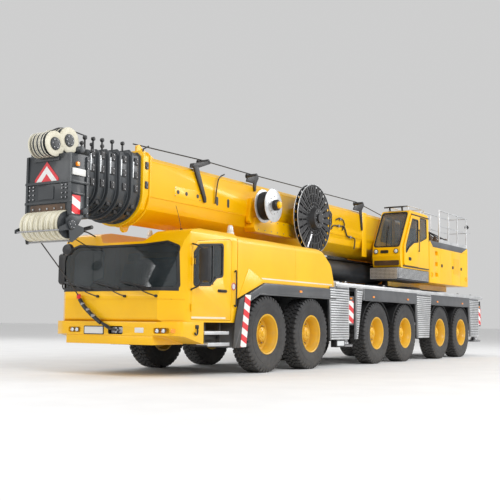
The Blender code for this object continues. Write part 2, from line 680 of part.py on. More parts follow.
def build_superstructure():
    inner = BASE_HALF_WIDTH - CHEEK_THICKNESS
    shapes = [cylinder((SLEW_X, 0.0, (DECK_TOP + TOUCH + RING_TOP + OVERLAP) / 2), RING_RADIUS,
                       (RING_TOP + OVERLAP - DECK_TOP - TOUCH) / 2, "Z", 32)]
    shapes.append(box((SUPER_REAR, -BASE_HALF_WIDTH, RING_TOP), (SUPER_FRONT, BASE_HALF_WIDTH, BASE_PLATE_TOP)))
    cheek = [(SUPER_REAR, RING_TOP + 0.01), (SUPER_FRONT, RING_TOP + 0.01), (SUPER_FRONT, 2.15), (-8.18, 2.26),
             (-8.45, 2.60), (-9.40, 3.30), (-10.35, 3.30), (-10.55, 2.80), (SUPER_REAR, 2.60)]
    for _, sign in SIDES:
        y_low, y_high = sorted((sign * inner, sign * BASE_HALF_WIDTH))
        shapes.append(side_plate(cheek, y_low, y_high))
        x, z = LIFT_BASE
        ear = [(x - 0.45, BASE_PLATE_TOP - OVERLAP), (x + 0.30, BASE_PLATE_TOP - OVERLAP), (x + 0.18, z + 0.12),
               (x, z + 0.20), (x - 0.18, z + 0.12)]
        y_low, y_high = sorted((sign * (LIFT_HALF_WIDTH + RUNNING), sign * (LIFT_HALF_WIDTH + 0.09)))
        shapes.append(side_plate(ear, y_low, y_high))
    side = BASE_HALF_WIDTH - OVERLAP
    platform = [(-8.16, side), (-6.88, side), (-6.88, CRANE_CAB_INNER), (-6.10, CRANE_CAB_INNER), (-6.10, 1.28),
                (-8.16, 1.28)]
    shapes.append(floor_plate(platform, 1.97, CRANE_CAB_BOTTOM))
    shapes.append(box((-9.90, -1.28, 2.20), (-7.30, OVERLAP - BASE_HALF_WIDTH, 3.10), 0.05))
    finish(join(shapes), "superstructure", DARK, 0.5)


def build_housing():
    """Machinery housing with the guard rail of the walkway on its roof."""
    low, high = HOUSING
    body = box(low, high)
    shapes = [body]
    half = RAIL / 2
    y_out, y_in = high[1] - 0.03, low[1] + 0.06
    posts = (-9.00, -10.10, low[0] + 0.03)
    for y in (y_out, y_in):
        for x in posts:
            shapes.append(box((x - half, y - half, high[2] - OVERLAP), (x + half, y + half, RAIL_TOP)))
        for z in (RAIL_TOP, (RAIL_TOP + high[2]) / 2):
            shapes.append(box((posts[2] - half, y - half, z - RAIL), (posts[0] + half, y + half, z)))
    for z in (RAIL_TOP, (RAIL_TOP + high[2]) / 2):
        shapes.append(box((posts[2] - half, y_in, z - RAIL), (posts[2] + half, y_out, z)))
    finish(join(shapes), "machinery_housing", YELLOW, 0.35)


def crane_cab_outline(inset=0.0):
    bottom = CRANE_CAB_BOTTOM + TOUCH + inset
    return [(-8.16 + inset, bottom), (-6.30 - inset, bottom), (-6.24 - inset, 2.55), (-6.28 - inset, 2.83),
            (-6.84 - inset, 3.72 - inset), (-7.00, 3.76 - inset), (-8.06 + inset, 3.74 - inset),
            (-8.14 + inset, 3.60)]


def slide_door_outline(grow=0.0):
    rear = SLIDE_DOOR_REAR
    return [(rear - grow, 2.34 - grow), (-6.44 + grow, 2.34 - grow), (-6.42 + grow, 2.80),
            (-6.92 + grow, 3.62 + grow), (rear - grow, 3.62 + grow)]


def build_crane_cab():
    body = side_plate(crane_cab_outline(), CRANE_CAB_INNER, CRANE_CAB_OUTER)
    hollow = side_plate(crane_cab_outline(CRANE_CAB_WALL), CRANE_CAB_INNER + CRANE_CAB_WALL,
                        CRANE_CAB_OUTER - CRANE_CAB_WALL)
    doorway = side_plate(slide_door_outline(-0.03), CRANE_CAB_OUTER - 0.2, CRANE_CAB_OUTER + 0.2)
    side_window = side_plate([(-7.48, 3.00), (-8.04, 3.00), (-8.00, 3.60), (-7.48, 3.62)],
                             CRANE_CAB_INNER - 0.1, CRANE_CAB_OUTER + 0.1)
    screen = box((-6.90, CRANE_CAB_INNER + 0.08, 2.88), (-6.00, CRANE_CAB_OUTER - 0.08, 3.62))
    inner_window = side_plate([(-6.55, 2.95), (-7.40, 2.95), (-7.40, 3.60), (-6.92, 3.60)],
                              CRANE_CAB_INNER - 0.1, CRANE_CAB_INNER + 0.1)
    body = cut(body, [hollow, doorway, side_window, screen, inner_window])
    finish(body, "crane_cab", YELLOW, 0.3)


def build_crane_cab_door():
    y_low = CRANE_CAB_OUTER + RUNNING
    panel = side_plate(slide_door_outline(), y_low, y_low + SLIDE_DOOR_THICKNESS)
    window = side_plate([(-6.52, 2.62), (-6.56, 2.84), (-6.96, 3.52), (-7.34, 3.52), (-7.34, 2.98), (-7.05, 2.94),
                         (-6.74, 2.80)], y_low - 0.1, y_low + 0.2)
    finish(cut(panel, [window]), "crane_cab_door", YELLOW, 0.3)


def build_crane_seat():
    floor = CRANE_CAB_BOTTOM + TOUCH + CRANE_CAB_WALL + TOUCH
    middle = (CRANE_CAB_INNER + CRANE_CAB_OUTER) / 2
    post = box((-7.55, middle - 0.15, floor), (-7.25, middle + 0.15, 2.62))
    cushion = box((-7.70, middle - 0.25, 2.60), (-7.10, middle + 0.25, 2.74), 0.04)
    back = side_plate([(-7.56, 2.68), (-7.72, 3.40), (-7.83, 3.38), (-7.72, 2.62)], middle - 0.25, middle + 0.25)
    finish(join([post, cushion, back]), "crane_cab_seat", SEAT, 0.8)


# ---------------------------------------------------------------- boom

def boom_section(shrink):
    """Cross-section of a boom section, (y, z): flat top, upright sides, rounded belly."""
    half = BOOM_HALF_WIDTH - shrink
    top = BOOM_TOP - shrink
    depth = BOOM_CREASE - BOOM_BOTTOM - shrink
    points = [(half - BOOM_CORNER, top), (half, top - BOOM_CORNER)]
    steps = 6
    for i in range(steps + 1):
        angle = math.pi * i / steps
        points.append((half * math.cos(angle), BOOM_CREASE - depth * math.sin(angle)))
    points += [(-half, top - BOOM_CORNER), (BOOM_CORNER - half, top)]
    return points


def boom_tube(shrink, rear, collar_rear, front, welded=()):
    """A hollow section with a thicker collar whose bore guides the next section."""
    tube = cross_plate(boom_section(shrink), rear, collar_rear + OVERLAP)
    collar = cross_plate(boom_section(shrink - COLLAR_RISE), collar_rear, front)
    bore = cross_plate(boom_section(shrink + BOOM_WALL), rear - 0.1, collar_rear)
    guide = cross_plate(boom_section(shrink + BOOM_STEP - RUNNING), rear - 0.1, front + 0.1)
    return cut(join([tube, collar, *welded]), [bore, guide])


def side_boss(centre, y_high, radius):
    x, z = centre
    y_low = BOOM_HALF_WIDTH - BOOM_WALL / 2
    return cylinder((x, (y_low + y_high) / 2, z), radius, (y_high - y_low) / 2, "Y", 12)


def lift_ears():
    """The two plates under the boom that hold the lift cylinder's upper eye."""
    x, z = LIFT_EYE
    top = BOOM_BOTTOM + 0.12
    outline = [(x - 0.55, top), (x - 0.50, BOOM_BOTTOM + 0.02), (x - 0.16, z - 0.05), (x - 0.08, z - 0.17),
               (x + 0.08, z - 0.17), (x + 0.16, z - 0.05), (x + 0.50, BOOM_BOTTOM + 0.02), (x + 0.55, top)]
    near = LIFT_HALF_WIDTH - 0.03 + RUNNING
    return [side_plate(outline, *sorted((sign * near, sign * (near + 0.08)))) for _, sign in SIDES]


def build_base_boom():
    pivot_x, pivot_z = BOOM_PIVOT
    tube_rear = BOOM_REAR + 0.90
    tube = boom_tube(0.0, tube_rear, BOOM_FRONT, COLLAR_FRONTS[0], lift_ears())
    foot = [(tube_rear + 0.02, BOOM_TOP - 0.10), (tube_rear + 0.02, BOOM_BOTTOM + 0.25), (-9.70, 2.72),
            (BOOM_REAR, 2.86), (BOOM_REAR, 3.14), (-9.90, 3.30)]
    shapes = [tube]
    for _, sign in SIDES:
        y_low, y_high = sorted((sign * (BOOM_HALF_WIDTH - 0.10), sign * (BOOM_HALF_WIDTH - 0.005)))
        shapes.append(side_plate(foot, y_low, y_high))
    shapes.append(box((tube_rear + 0.01, 0.05 - BOOM_HALF_WIDTH, BOOM_CREASE),
                      (tube_rear + 0.05, BOOM_HALF_WIDTH - 0.05, BOOM_TOP - 0.04)))
    shapes.append(cylinder((pivot_x, 0.0, pivot_z), 0.14, BASE_HALF_WIDTH - CHEEK_THICKNESS - RUNNING, "Y", 16))
    shapes.append(side_boss(REEL_CENTRE, REEL_INNER - RUNNING, 0.07))
    shapes.append(side_boss(DRUM_CENTRE, REEL_INNER - RUNNING, 0.07))
    finish(join(shapes), "base_boom", YELLOW, 0.3, pivot=(pivot_x, 0.0, pivot_z))


def build_sections():
    """The five inner sections that end in a collar."""
    for index in range(1, len(COLLAR_FRONTS)):
        rear = BOOM_REAR + 1.0 + TAIL_STEP * index
        collar_rear = COLLAR_FRONTS[index - 1] + COLLAR_GAP
        section = boom_tube(BOOM_STEP * index, rear, collar_rear, COLLAR_FRONTS[index])
        finish(section, f"boom_section_{index}", DARK, 0.45)


def build_head():
    """The innermost section with the boom head and its upper sheaves."""
    count = len(COLLAR_FRONTS)
    shrink = BOOM_STEP * count
    rear = BOOM_REAR + 1.0 + TAIL_STEP * count
    start = COLLAR_FRONTS[-1] + COLLAR_GAP
    tube = cross_plate(boom_section(shrink), rear, start + OVERLAP)
    bore = cross_plate(boom_section(shrink + BOOM_WALL), rear - 0.1, start - 0.2)
    block = box((start, -HEAD_HALF_WIDTH, HEAD_BOTTOM), (HEAD_FRONT, HEAD_HALF_WIDTH, HEAD_TOP))
    slot_outline = [(start + 0.06, HEAD_TOP - 0.30), (HEAD_FRONT - 0.04, HEAD_TOP - 0.30),
                    (HEAD_FRONT - 0.04, HEAD_BOTTOM - 0.1), (start + 0.06, HEAD_BOTTOM - 0.1)]
    slot = side_plate(slot_outline, HEAD_CHEEK + 0.01 - HEAD_HALF_WIDTH, HEAD_HALF_WIDTH - HEAD_CHEEK - 0.01)
    axis_x, axis_z = SHEAVE_AXIS
    sweep = cylinder((axis_x, 0.0, axis_z), SHEAVE_RADIUS + CLEAR, HEAD_HALF_WIDTH - HEAD_CHEEK - 0.01, "Y", 20)
    shapes = [cut(tube, [bore]), cut(block, [slot, sweep])]
    for _, sign in SIDES:
        y_low, y_high = sorted((sign * (HEAD_HALF_WIDTH - HEAD_CHEEK), sign * (HEAD_HALF_WIDTH + 0.005)))
        ear = [(axis_x - 0.26, HEAD_BOTTOM + 0.02), (axis_x - 0.10, axis_z - 0.08), (axis_x + 0.08, axis_z - 0.08),
               (axis_x + 0.08, axis_z + 0.08), (axis_x + 0.02, HEAD_BOTTOM + 0.02)]
        shapes.append(side_plate(ear, y_low, y_high))
        y_low, y_high = sorted((sign * 0.13, sign * 0.17))
        bracket = [(start + 0.04, HEAD_TOP - OVERLAP), (HEAD_FRONT - 0.01, HEAD_TOP - OVERLAP), (HEAD_FRONT + 0.15, 3.47),
                   (HEAD_FRONT + 0.13, 3.60), (3.95, 3.70), (3.85, 3.65)]
        shapes.append(side_plate(bracket, y_low, y_high))
    for x, z, radius, half in TOP_SHEAVES:
        shapes.append(cylinder((x, 0.0, z), radius, half, "Y", 20))
        shapes.append(cylinder((x, 0.0, z), 0.04, 0.15, "Y", 12))
    finish(join(shapes), "boom_head", DARK, 0.45)


def build_head_sheaves():
    """The pack of lower head sheaves, one grooved roller."""
    half = HEAD_HALF_WIDTH - HEAD_CHEEK - RUNNING
    x, z = SHEAVE_AXIS
    profile = [(-half, 0.0), (-half, 0.05), (0.02 - half, 0.05), (0.02 - half, SHEAVE_RADIUS),
               (half - 0.02, SHEAVE_RADIUS), (half - 0.02, 0.05), (half, 0.05), (half, 0.0)]
    finish(turned(profile, (x, 0.0, z), ALONG_MINUS_Y, 20), "head_sheaves", CREAM, 0.5, pivot=(x, 0.0, z))


def build_lift_cylinder():
    base_x, base_z = LIFT_BASE
    eye_x, eye_z = LIFT_EYE
    slope = math.atan2(eye_z - base_z, eye_x - base_x)
    length = math.hypot(eye_z - base_z, eye_x - base_x)
    turn = Matrix.Rotation(-slope, 4, "Y") @ ALONG_PLUS_X
    start = LIFT_TUBE_START
    end = start + LIFT_TUBE_LENGTH
    tube_profile = [(start - 0.18, 0.0), (start - 0.18, 0.12), (start, LIFT_TUBE), (end, LIFT_TUBE),
                    (end, LIFT_ROD + RUNNING), (end - 0.12, LIFT_ROD + RUNNING), (end - 0.14, LIFT_BORE),
                    (start + 0.10, LIFT_BORE), (start + 0.10, 0.0)]
    barrel = turned(tube_profile, (base_x, 0.0, base_z), turn)
    eye = cylinder((base_x, 0.0, base_z), LIFT_PIN, LIFT_HALF_WIDTH, "Y", 20)
    finish(join([barrel, eye]), "lift_cylinder_barrel", DARK, 0.4, pivot=(base_x, 0.0, base_z))
    rod_profile = [(start + 0.15, 0.0), (start + 0.15, LIFT_ROD), (length - 0.12, LIFT_ROD), (length - 0.12, 0.0)]
    rod = turned(rod_profile, (base_x, 0.0, base_z), turn)
    eye = cylinder((eye_x, 0.0, eye_z), LIFT_PIN, LIFT_HALF_WIDTH - 0.03, "Y", 20)
    finish(join([rod, eye]), "lift_cylinder_rod", SILVER, 0.2, 1.0)


# ---------------------------------------------------------------- drums and reels

def build_hose_reel():
    x, z = REEL_CENTRE
    profile = [(REEL_INNER, 0.0), (REEL_INNER, 0.20), (0.86, 0.20), (0.86, REEL_RADIUS), (0.95, REEL_RADIUS),
               (0.95, 0.22), (REEL_OUTER - 0.04, 0.20), (REEL_OUTER - 0.04, 0.10), (REEL_OUTER, 0.10),
               (REEL_OUTER, 0.0)]
    finish(turned(profile, (x, 0.0, z), ALONG_PLUS_Y, 24), "hose_reel", BLACK, 0.6,
           pivot=(x, REEL_INNER, z))


def build_cable_drum():
    x, z = DRUM_CENTRE
    profile = [(REEL_INNER, 0.0), (REEL_INNER, CABLE_FLANGE), (0.78, CABLE_FLANGE), (0.78, 0.28), (0.98, 0.28),
               (0.98, CABLE_FLANGE), (1.00, CABLE_FLANGE), (1.00, 0.09), (1.16, 0.09), (1.16, 0.0)]
    finish(turned(profile, (x, 0.0, z), ALONG_PLUS_Y, 20), "cable_drum", BLACK, 0.5,
           pivot=(x, REEL_INNER, z))


def build_winch():
    x, z = WINCH_AXIS
    half = BASE_HALF_WIDTH - CHEEK_THICKNESS - RUNNING
    profile = [(-half, 0.0), (-half, 0.12), (0.06 - half, 0.12), (0.06 - half, WINCH_RADIUS),
               (0.09 - half, WINCH_RADIUS), (0.09 - half, 0.24), (half - 0.09, 0.24), (half - 0.09, WINCH_RADIUS),
               (half - 0.06, WINCH_RADIUS), (half - 0.06, 0.12), (half, 0.12), (half, 0.0)]
    finish(turned(profile, (x, 0.0, z), ALONG_MINUS_Y, 20), "hoist_winch_drum", GREY, 0.5, pivot=(x, 0.0, z))


# ---------------------------------------------------------------- assembly

def main():
    for number, x in enumerate(AXLES, start=1):
        for side, sign in SIDES:
            build_wheel(number, x, side, sign)
            build_knuckle(number, x, side, sign)
    build_axle_group("axles_front", AXLES[:2])
    build_axle_group("axles_rear", AXLES[2:])
    build_chassis_frame()
    build_outriggers()
    build_deck()
    build_carrier_cab()
    build_carrier_doors()
    build_cab_interior()
    build_hood()
    build_engine()
    build_superstructure()
    build_housing()
    build_crane_cab()
    build_crane_cab_door()
    build_crane_seat()
    build_base_boom()
    build_sections()
    build_head()
    build_head_sheaves()
    build_lift_cylinder()
    build_hose_reel()
    build_cable_drum()
    build_winch()


main()
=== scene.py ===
"""Looks of a six-axle mobile crane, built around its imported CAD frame.

Metres, +X forward, +Y to the left, +Z up, standing on z = 0.
"""

import logging
import math
from dataclasses import dataclass
from enum import Enum
from typing import Callable, Iterable, Sequence

import bmesh
import bpy
from mathutils import Matrix, Vector


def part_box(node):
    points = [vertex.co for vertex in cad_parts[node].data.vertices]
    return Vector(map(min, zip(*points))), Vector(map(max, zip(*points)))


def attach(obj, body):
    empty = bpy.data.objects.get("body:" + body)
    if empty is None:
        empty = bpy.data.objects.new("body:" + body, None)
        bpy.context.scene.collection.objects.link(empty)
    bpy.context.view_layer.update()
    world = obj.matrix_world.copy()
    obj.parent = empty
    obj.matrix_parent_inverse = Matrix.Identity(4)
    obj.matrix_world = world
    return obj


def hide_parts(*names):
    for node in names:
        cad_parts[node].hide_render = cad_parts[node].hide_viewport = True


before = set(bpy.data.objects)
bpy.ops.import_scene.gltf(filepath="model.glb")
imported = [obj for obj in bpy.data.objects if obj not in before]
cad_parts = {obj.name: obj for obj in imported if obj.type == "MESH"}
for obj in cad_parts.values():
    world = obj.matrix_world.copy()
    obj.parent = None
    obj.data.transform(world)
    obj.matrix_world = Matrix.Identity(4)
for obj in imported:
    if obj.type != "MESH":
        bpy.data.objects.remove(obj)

LOG = logging.getLogger("crane")
Point = tuple[float, float]
Place = tuple[float, float, float]
Socket = bpy.types.NodeSocket
SIDES = (("left", 1), ("right", -1))
AXLES = (4.0, 2.35, -0.745, -2.395, -4.775, -6.425)
WHEEL_HEIGHT = 0.685
EDGE_ANGLE = math.radians(30)
CUSHION_VOXEL = 0.012
CUSHION_PRESSURE = 4.0
CUSHION_FRAMES = 12


class Axis(Enum):
    """A direction of the frame, and the two that an outline across it is drawn in."""

    X = "X"
    Y = "Y"
    Z = "Z"

    def turn(self) -> Matrix:
        """Rotation that lays a shape drawn along +Z on this axis."""
        turns = {Axis.X: Matrix.Rotation(math.pi / 2, 4, "Y"), Axis.Y: Matrix.Rotation(-math.pi / 2, 4, "X")}
        return turns.get(self, Matrix.Identity(4))

    def place(self, point: Point, along: float) -> Place:
        """A point of an outline across this axis, at a place along it.

        Args:
            point: The point of the outline.
            along: Place along the axis.

        Returns:
            The point in space.
        """
        first, second = point
        if self is Axis.X:
            return (along, first, second)
        if self is Axis.Y:
            return (first, along, second)
        return (first, second, along)


# ---------------------------------------------------------------- finishes


def add_node(tree: bpy.types.NodeTree, kind: str, links: dict, **settings: object) -> bpy.types.Node:
    """Adds a node to a tree.

    Args:
        tree: The tree.
        kind: Full type name of the node.
        links: Input name or number to a socket or a plain value.
        settings: Attributes of the node.

    Returns:
        The new node.
    """
    node = tree.nodes.new(kind)
    for key, value in settings.items():
        setattr(node, key, value)
    for key, value in links.items():
        if isinstance(value, bpy.types.NodeSocket):
            tree.links.new(value, node.inputs[key])
        else:
            node.inputs[key].default_value = value
    return node


class Graph:
    """Node tree of one material, read in Object coordinates."""

    def __init__(self, name: str) -> None:
        """Starts a material with its shader and its coordinates.

        Args:
            name: Name of the material.
        """
        self.material = bpy.data.materials.new(name)
        self.material.use_nodes = True
        self.tree = self.material.node_tree
        self.shader = self.tree.nodes["Principled BSDF"]
        self.where = self.tree.nodes.new("ShaderNodeTexCoord").outputs["Object"]

    def set(self, **values: object) -> None:
        """Sets plain values on the shader, with underscores for spaces."""
        for key, value in values.items():
            self.shader.inputs[key.replace("_", " ")].default_value = value

    def feed(self, name: str, socket: Socket) -> None:
        """Links a socket to one of the shader's inputs."""
        self.tree.links.new(socket, self.shader.inputs[name])

    def node(self, kind: str, links: dict, **settings: object) -> bpy.types.Node:
        """Adds a node.

        Args:
            kind: Type name after "ShaderNode".
            links: Input name or number to a socket or a plain value.
            settings: Attributes of the node.

        Returns:
            The new node.
        """
        return add_node(self.tree, "ShaderNode" + kind, links, **settings)

    def stretched(self, scale: Place, turn: Place = (0.0, 0.0, 0.0)) -> Socket:
        """Object coordinates, scaled and turned."""
        return self.node("Mapping", {"Vector": self.where, "Scale": scale, "Rotation": turn}).outputs[0]

    def noise(self, scale: float, detail: float = 3.0, vector: Socket | None = None) -> Socket:
        """Noise from 0 to 1 with so many patches a metre."""
        links = {"Vector": vector or self.where, "Scale": scale, "Detail": detail}
        return self.node("TexNoise", links).outputs[0]

    def math(self, operation: str, first: object, second: object = 0.0) -> Socket:
        """One sum on two sockets or numbers."""
        return self.node("Math", {0: first, 1: second}, operation=operation).outputs[0]

    def ramp(self, factor: Socket, stops: Sequence[tuple[float, Sequence[float]]], mode: str = "LINEAR") -> Socket:
        """Colour from a factor through two or more stops.

        Args:
            factor: The factor.
            stops: Positions and their colours.
            mode: How colours run into each other.

        Returns:
            The colour.
        """
        node = self.node("ValToRGB", {"Fac": factor})
        node.color_ramp.interpolation = mode
        while len(node.color_ramp.elements) < len(stops):
            node.color_ramp.elements.new(0.5)
        for element, (position, colour) in zip(node.color_ramp.elements, stops):
            element.position = position
            element.color = (*colour[:3], 1.0)
        return node.outputs[0]

    def span(self, factor: Socket, low: float, high: float, start: float = 0.0, end: float = 1.0) -> Socket:
        """A factor moved from one range to another."""
        links = {"Value": factor, "From Min": start, "From Max": end, "To Min": low, "To Max": high}
        return self.node("MapRange", links).outputs[0]

    def mix(self, factor: object, first: object, second: object) -> Socket:
        """Two colours mixed by a factor.

        Args:
            factor: Share of the second colour.
            first: A socket or a colour.
            second: A socket or a colour.

        Returns:
            The mixed colour.
        """
        node = self.node("Mix", {}, data_type="RGBA")
        sockets = (node.inputs[0], node.inputs[6], node.inputs[7])
        for socket, value in zip(sockets, (factor, first, second)):
            if isinstance(value, bpy.types.NodeSocket):
                self.tree.links.new(value, socket)
            elif socket is sockets[0]:
                socket.default_value = value
            else:
                socket.default_value = (*value[:3], 1.0)
        return node.outputs[2]

    def height(self) -> Socket:
        """Height above the ground in metres."""
        return self.axis("Z")

    def axis(self, name: str) -> Socket:
        """One of the Object coordinates."""
        return self.node("SeparateXYZ", {0: self.where}).outputs[name]

    def bump(self, height: Socket, strength: float, distance: float = 0.002) -> None:
        """Gives the shader a bumped normal."""
        links = {"Height": height, "Strength": strength, "Distance": distance}
        self.feed("Normal", self.node("Bump", links).outputs[0])


@dataclass(frozen=True)
class Finish:
    """A finish that a piece is dressed in."""

    name: str
    slot: str

    def make(self) -> bpy.types.Material:
        """The finish's material, made once.

        Returns:
            The material.
        """
        known = bpy.data.materials.get(self.name)
        if known is not None:
            return known
        graph = Graph(self.name)
        self.weave(graph)
        return graph.material

    def weave(self, graph: Graph) -> None:
        """Fills the graph; each kind of finish has its own."""
        raise NotImplementedError


@dataclass(frozen=True)
class Paint(Finish):
    """Sprayed paint with a faint orange peel, uneven gloss and road dust low down."""

    colour: Place = (0.8, 0.8, 0.8)
    shade: Place = (0.7, 0.7, 0.7)
    rough: float = 0.3
    coat: float = 0.4
    dust: float = 0.25
    peel: float = 0.06

    def weave(self, graph: Graph) -> None:
        """Two tones by noise, dust by height.

        Args:
            graph: The material's nodes.
        """
        broad = graph.noise(1.3, 4.0)
        tone = graph.ramp(broad, ((0.35, self.shade), (0.68, self.colour)))
        grime = graph.math("MULTIPLY", graph.span(graph.height(), self.dust, 0.0, 0.2, 1.7), graph.noise(9.0, 6.0))
        graph.feed("Base Color", graph.mix(grime, tone, (0.25, 0.22, 0.18)))
        graph.feed("Roughness", graph.span(graph.noise(6.0, 5.0), self.rough - 0.07, self.rough + 0.12))
        graph.set(Coat_Weight=self.coat, Coat_Roughness=0.12, Specular_IOR_Level=0.3)
        graph.bump(graph.noise(160.0, 1.0), self.peel, 0.001)


@dataclass(frozen=True)
class Metal(Finish):
    """Bare or plated metal with brushed streaks along one axis."""

    colour: Place = (0.6, 0.6, 0.6)
    shade: Place = (0.5, 0.5, 0.5)
    rough: float = 0.35
    brush: Place = (2.0, 60.0, 60.0)
    metallic: float = 1.0
    bump: float = 0.12

    def weave(self, graph: Graph) -> None:
        """Streaks in colour, gloss and bump.

        Args:
            graph: The material's nodes.
        """
        streak = graph.noise(3.0, 4.0, graph.stretched(self.brush))
        blotch = graph.noise(2.2, 5.0)
        tone = graph.ramp(graph.math("MULTIPLY", graph.math("ADD", streak, blotch), 0.5),
                          ((0.36, self.shade), (0.62, self.colour)))
        graph.feed("Base Color", tone)
        graph.feed("Roughness", graph.span(streak, self.rough - 0.1, self.rough + 0.15))
        graph.set(Metallic=self.metallic)
        graph.bump(streak, self.bump)


@dataclass(frozen=True)
class Moulded(Finish):
    """Rubber or plastic with a fine grain."""

    colour: Place = (0.02, 0.02, 0.02)
    shade: Place = (0.03, 0.03, 0.03)
    rough: float = 0.6
    grain: float = 220.0
    depth: float = 0.2
    dust: float = 0.0

    def weave(self, graph: Graph) -> None:
        """Fine grain, with dust low down where it is set.

        Args:
            graph: The material's nodes.
        """
        tone = graph.ramp(graph.noise(5.0, 6.0), ((0.3, self.colour), (0.72, self.shade)))
        if self.dust:
            low = graph.span(graph.height(), self.dust, self.dust * 0.15, 0.0, 1.2)
            tone = graph.mix(graph.math("MULTIPLY", low, graph.noise(14.0, 6.0)), tone, (0.24, 0.22, 0.19))
        graph.feed("Base Color", tone)
        graph.feed("Roughness", graph.span(graph.noise(30.0, 3.0), self.rough - 0.08, self.rough + 0.12))
        graph.bump(graph.noise(self.grain, 2.0), self.depth, 0.001)


@dataclass(frozen=True)
class Stripes(Finish):
    """Slanted two-colour warning stripes; slope gives the stripe's direction in X, Y and Z."""

    first: Place = (0.75, 0.01, 0.02)
    second: Place = (0.86, 0.86, 0.84)
    slope: Place = (1.0, 0.0, 1.0)
    width: float = 0.11

    def weave(self, graph: Graph) -> None:
        """A stepped wave along the slope, over a reflective grain.

        Args:
            graph: The material's nodes.
        """
        dot = graph.node("VectorMath", {0: graph.where, 1: Vector(self.slope).normalized()}, operation="DOT_PRODUCT")
        turn = graph.math("DIVIDE", dot.outputs["Value"], 2 * self.width)
        step = graph.math("GREATER_THAN", graph.math("FRACT", graph.math("ADD", turn, 100.0)), 0.5)
        worn = graph.span(graph.noise(7.0, 5.0), 0.0, 0.16)
        tone = graph.mix(step, self.first, self.second)
        graph.feed("Base Color", graph.mix(worn, tone, (0.4, 0.37, 0.33)))
        graph.feed("Roughness", graph.span(graph.noise(20.0, 3.0), 0.28, 0.45))
        graph.bump(graph.noise(500.0, 1.0), 0.08, 0.0005)


@dataclass(frozen=True)
class Pane(Finish):
    """Tinted glass, darker where the noise has left a film on it."""

    colour: Place = (0.02, 0.028, 0.03)
    film: Place = (0.05, 0.06, 0.065)
    cover: float = 0.62

    def weave(self, graph: Graph) -> None:
        """Part-covering dark tint with a hard gloss.

        Args:
            graph: The material's nodes.
        """
        smear = graph.noise(2.5, 5.0, graph.stretched((1.0, 1.0, 0.4)))
        graph.feed("Base Color", graph.ramp(smear, ((0.3, self.colour), (0.75, self.film))))
        graph.feed("Roughness", graph.span(smear, 0.02, 0.08))
        graph.set(Alpha=self.cover, Coat_Weight=0.5, IOR=1.52)


@dataclass(frozen=True)
class Lens(Finish):
    """Coloured lamp lens with moulded ribs, lit faintly from within."""

    colour: Place = (0.9, 0.3, 0.02)
    glow: float = 0.15

    def weave(self, graph: Graph) -> None:
        """Ribs across the lens.

        Args:
            graph: The material's nodes.
        """
        ribs = graph.node("TexWave", {"Vector": graph.where, "Scale": 60.0, "Distortion": 0.0}).outputs[1]
        dark = tuple(c * 0.55 for c in self.colour)
        graph.feed("Base Color", graph.mix(graph.span(ribs, 0.0, 0.6), self.colour, dark))
        graph.feed("Roughness", graph.span(ribs, 0.08, 0.2))
        graph.set(Emission_Color=(*self.colour, 1.0), Emission_Strength=self.glow, Coat_Weight=0.6)
        graph.bump(ribs, 0.25, 0.001)


@dataclass(frozen=True)
class Cloth(Finish):
    """Woven seat cloth with crossed threads and a soft sheen."""

    colour: Place = (0.03, 0.03, 0.035)
    thread: Place = (0.09, 0.09, 0.1)

    def weave(self, graph: Graph) -> None:
        """Two crossed waves as warp and weft.

        Args:
            graph: The material's nodes.
        """
        warp = graph.node("TexWave", {"Vector": graph.where, "Scale": 90.0}, bands_direction="Y").outputs[1]
        weft = graph.node("TexWave", {"Vector": graph.where, "Scale": 90.0}, bands_direction="Z").outputs[1]
        both = graph.math("MULTIPLY", warp, weft)
        blend = graph.math("ADD", both, graph.span(graph.noise(12.0, 4.0), -0.2, 0.2))
        graph.feed("Base Color", graph.ramp(blend, ((0.15, self.colour), (0.8, self.thread))))
        graph.feed("Roughness", graph.span(both, 0.75, 0.95))
        graph.set(Sheen_Weight=0.3, Sheen_Roughness=0.5)
        graph.bump(both, 0.4, 0.001)


@dataclass(frozen=True)
class Strand(Finish):
    """Rope of laid strands, wound at a slant along its length."""

    colour: Place = (0.1, 0.1, 0.105)
    shade: Place = (0.025, 0.025, 0.028)
    scale: float = 26.0

    def weave(self, graph: Graph) -> None:
        """Slanted bands as strands.

        Args:
            graph: The material's nodes.
        """
        links = {"Vector": graph.stretched((1.0, 1.4, 1.8)), "Scale": self.scale, "Distortion": 0.4}
        lay = graph.node("TexWave", links, bands_direction="DIAGONAL").outputs[1]
        graph.feed("Base Color", graph.ramp(lay, ((0.2, self.shade), (0.75, self.colour))))
        graph.feed("Roughness", graph.span(lay, 0.4, 0.6))
        graph.set(Metallic=0.5)
        graph.bump(lay, 0.5, 0.003)


YELLOW = Paint("crane yellow gloss", "crane_yellow", colour=(0.93, 0.52, 0.0), shade=(0.88, 0.47, 0.0), rough=0.3,
               coat=0.16, dust=0.16, peel=0.03)
RIM_YELLOW = Paint("wheel yellow", "rim_yellow", colour=(0.93, 0.53, 0.0), shade=(0.78, 0.42, 0.0), rough=0.34,
                   coat=0.12, dust=0.5)
DARK = Paint("dark chassis satin", "dark_steel", colour=(0.042, 0.045, 0.05), shade=(0.025, 0.027, 0.03), rough=0.45,
             coat=0.1, dust=0.45)
BOOM_GREY = Paint("boom grey satin", "boom_grey", colour=(0.06, 0.066, 0.072), shade=(0.035, 0.039, 0.043), rough=0.38,
                  coat=0.15, dust=0.1)
FENDER_GREY = Paint("fender grey satin", "dark_steel", colour=(0.095, 0.1, 0.108), shade=(0.07, 0.074, 0.08), rough=0.4,
                    coat=0.15, dust=0.3)
WHITE = Paint("plate white", "deck_aluminium", colour=(0.8, 0.8, 0.78), shade=(0.68, 0.68, 0.66), rough=0.35, coat=0.3,
              dust=0.2)
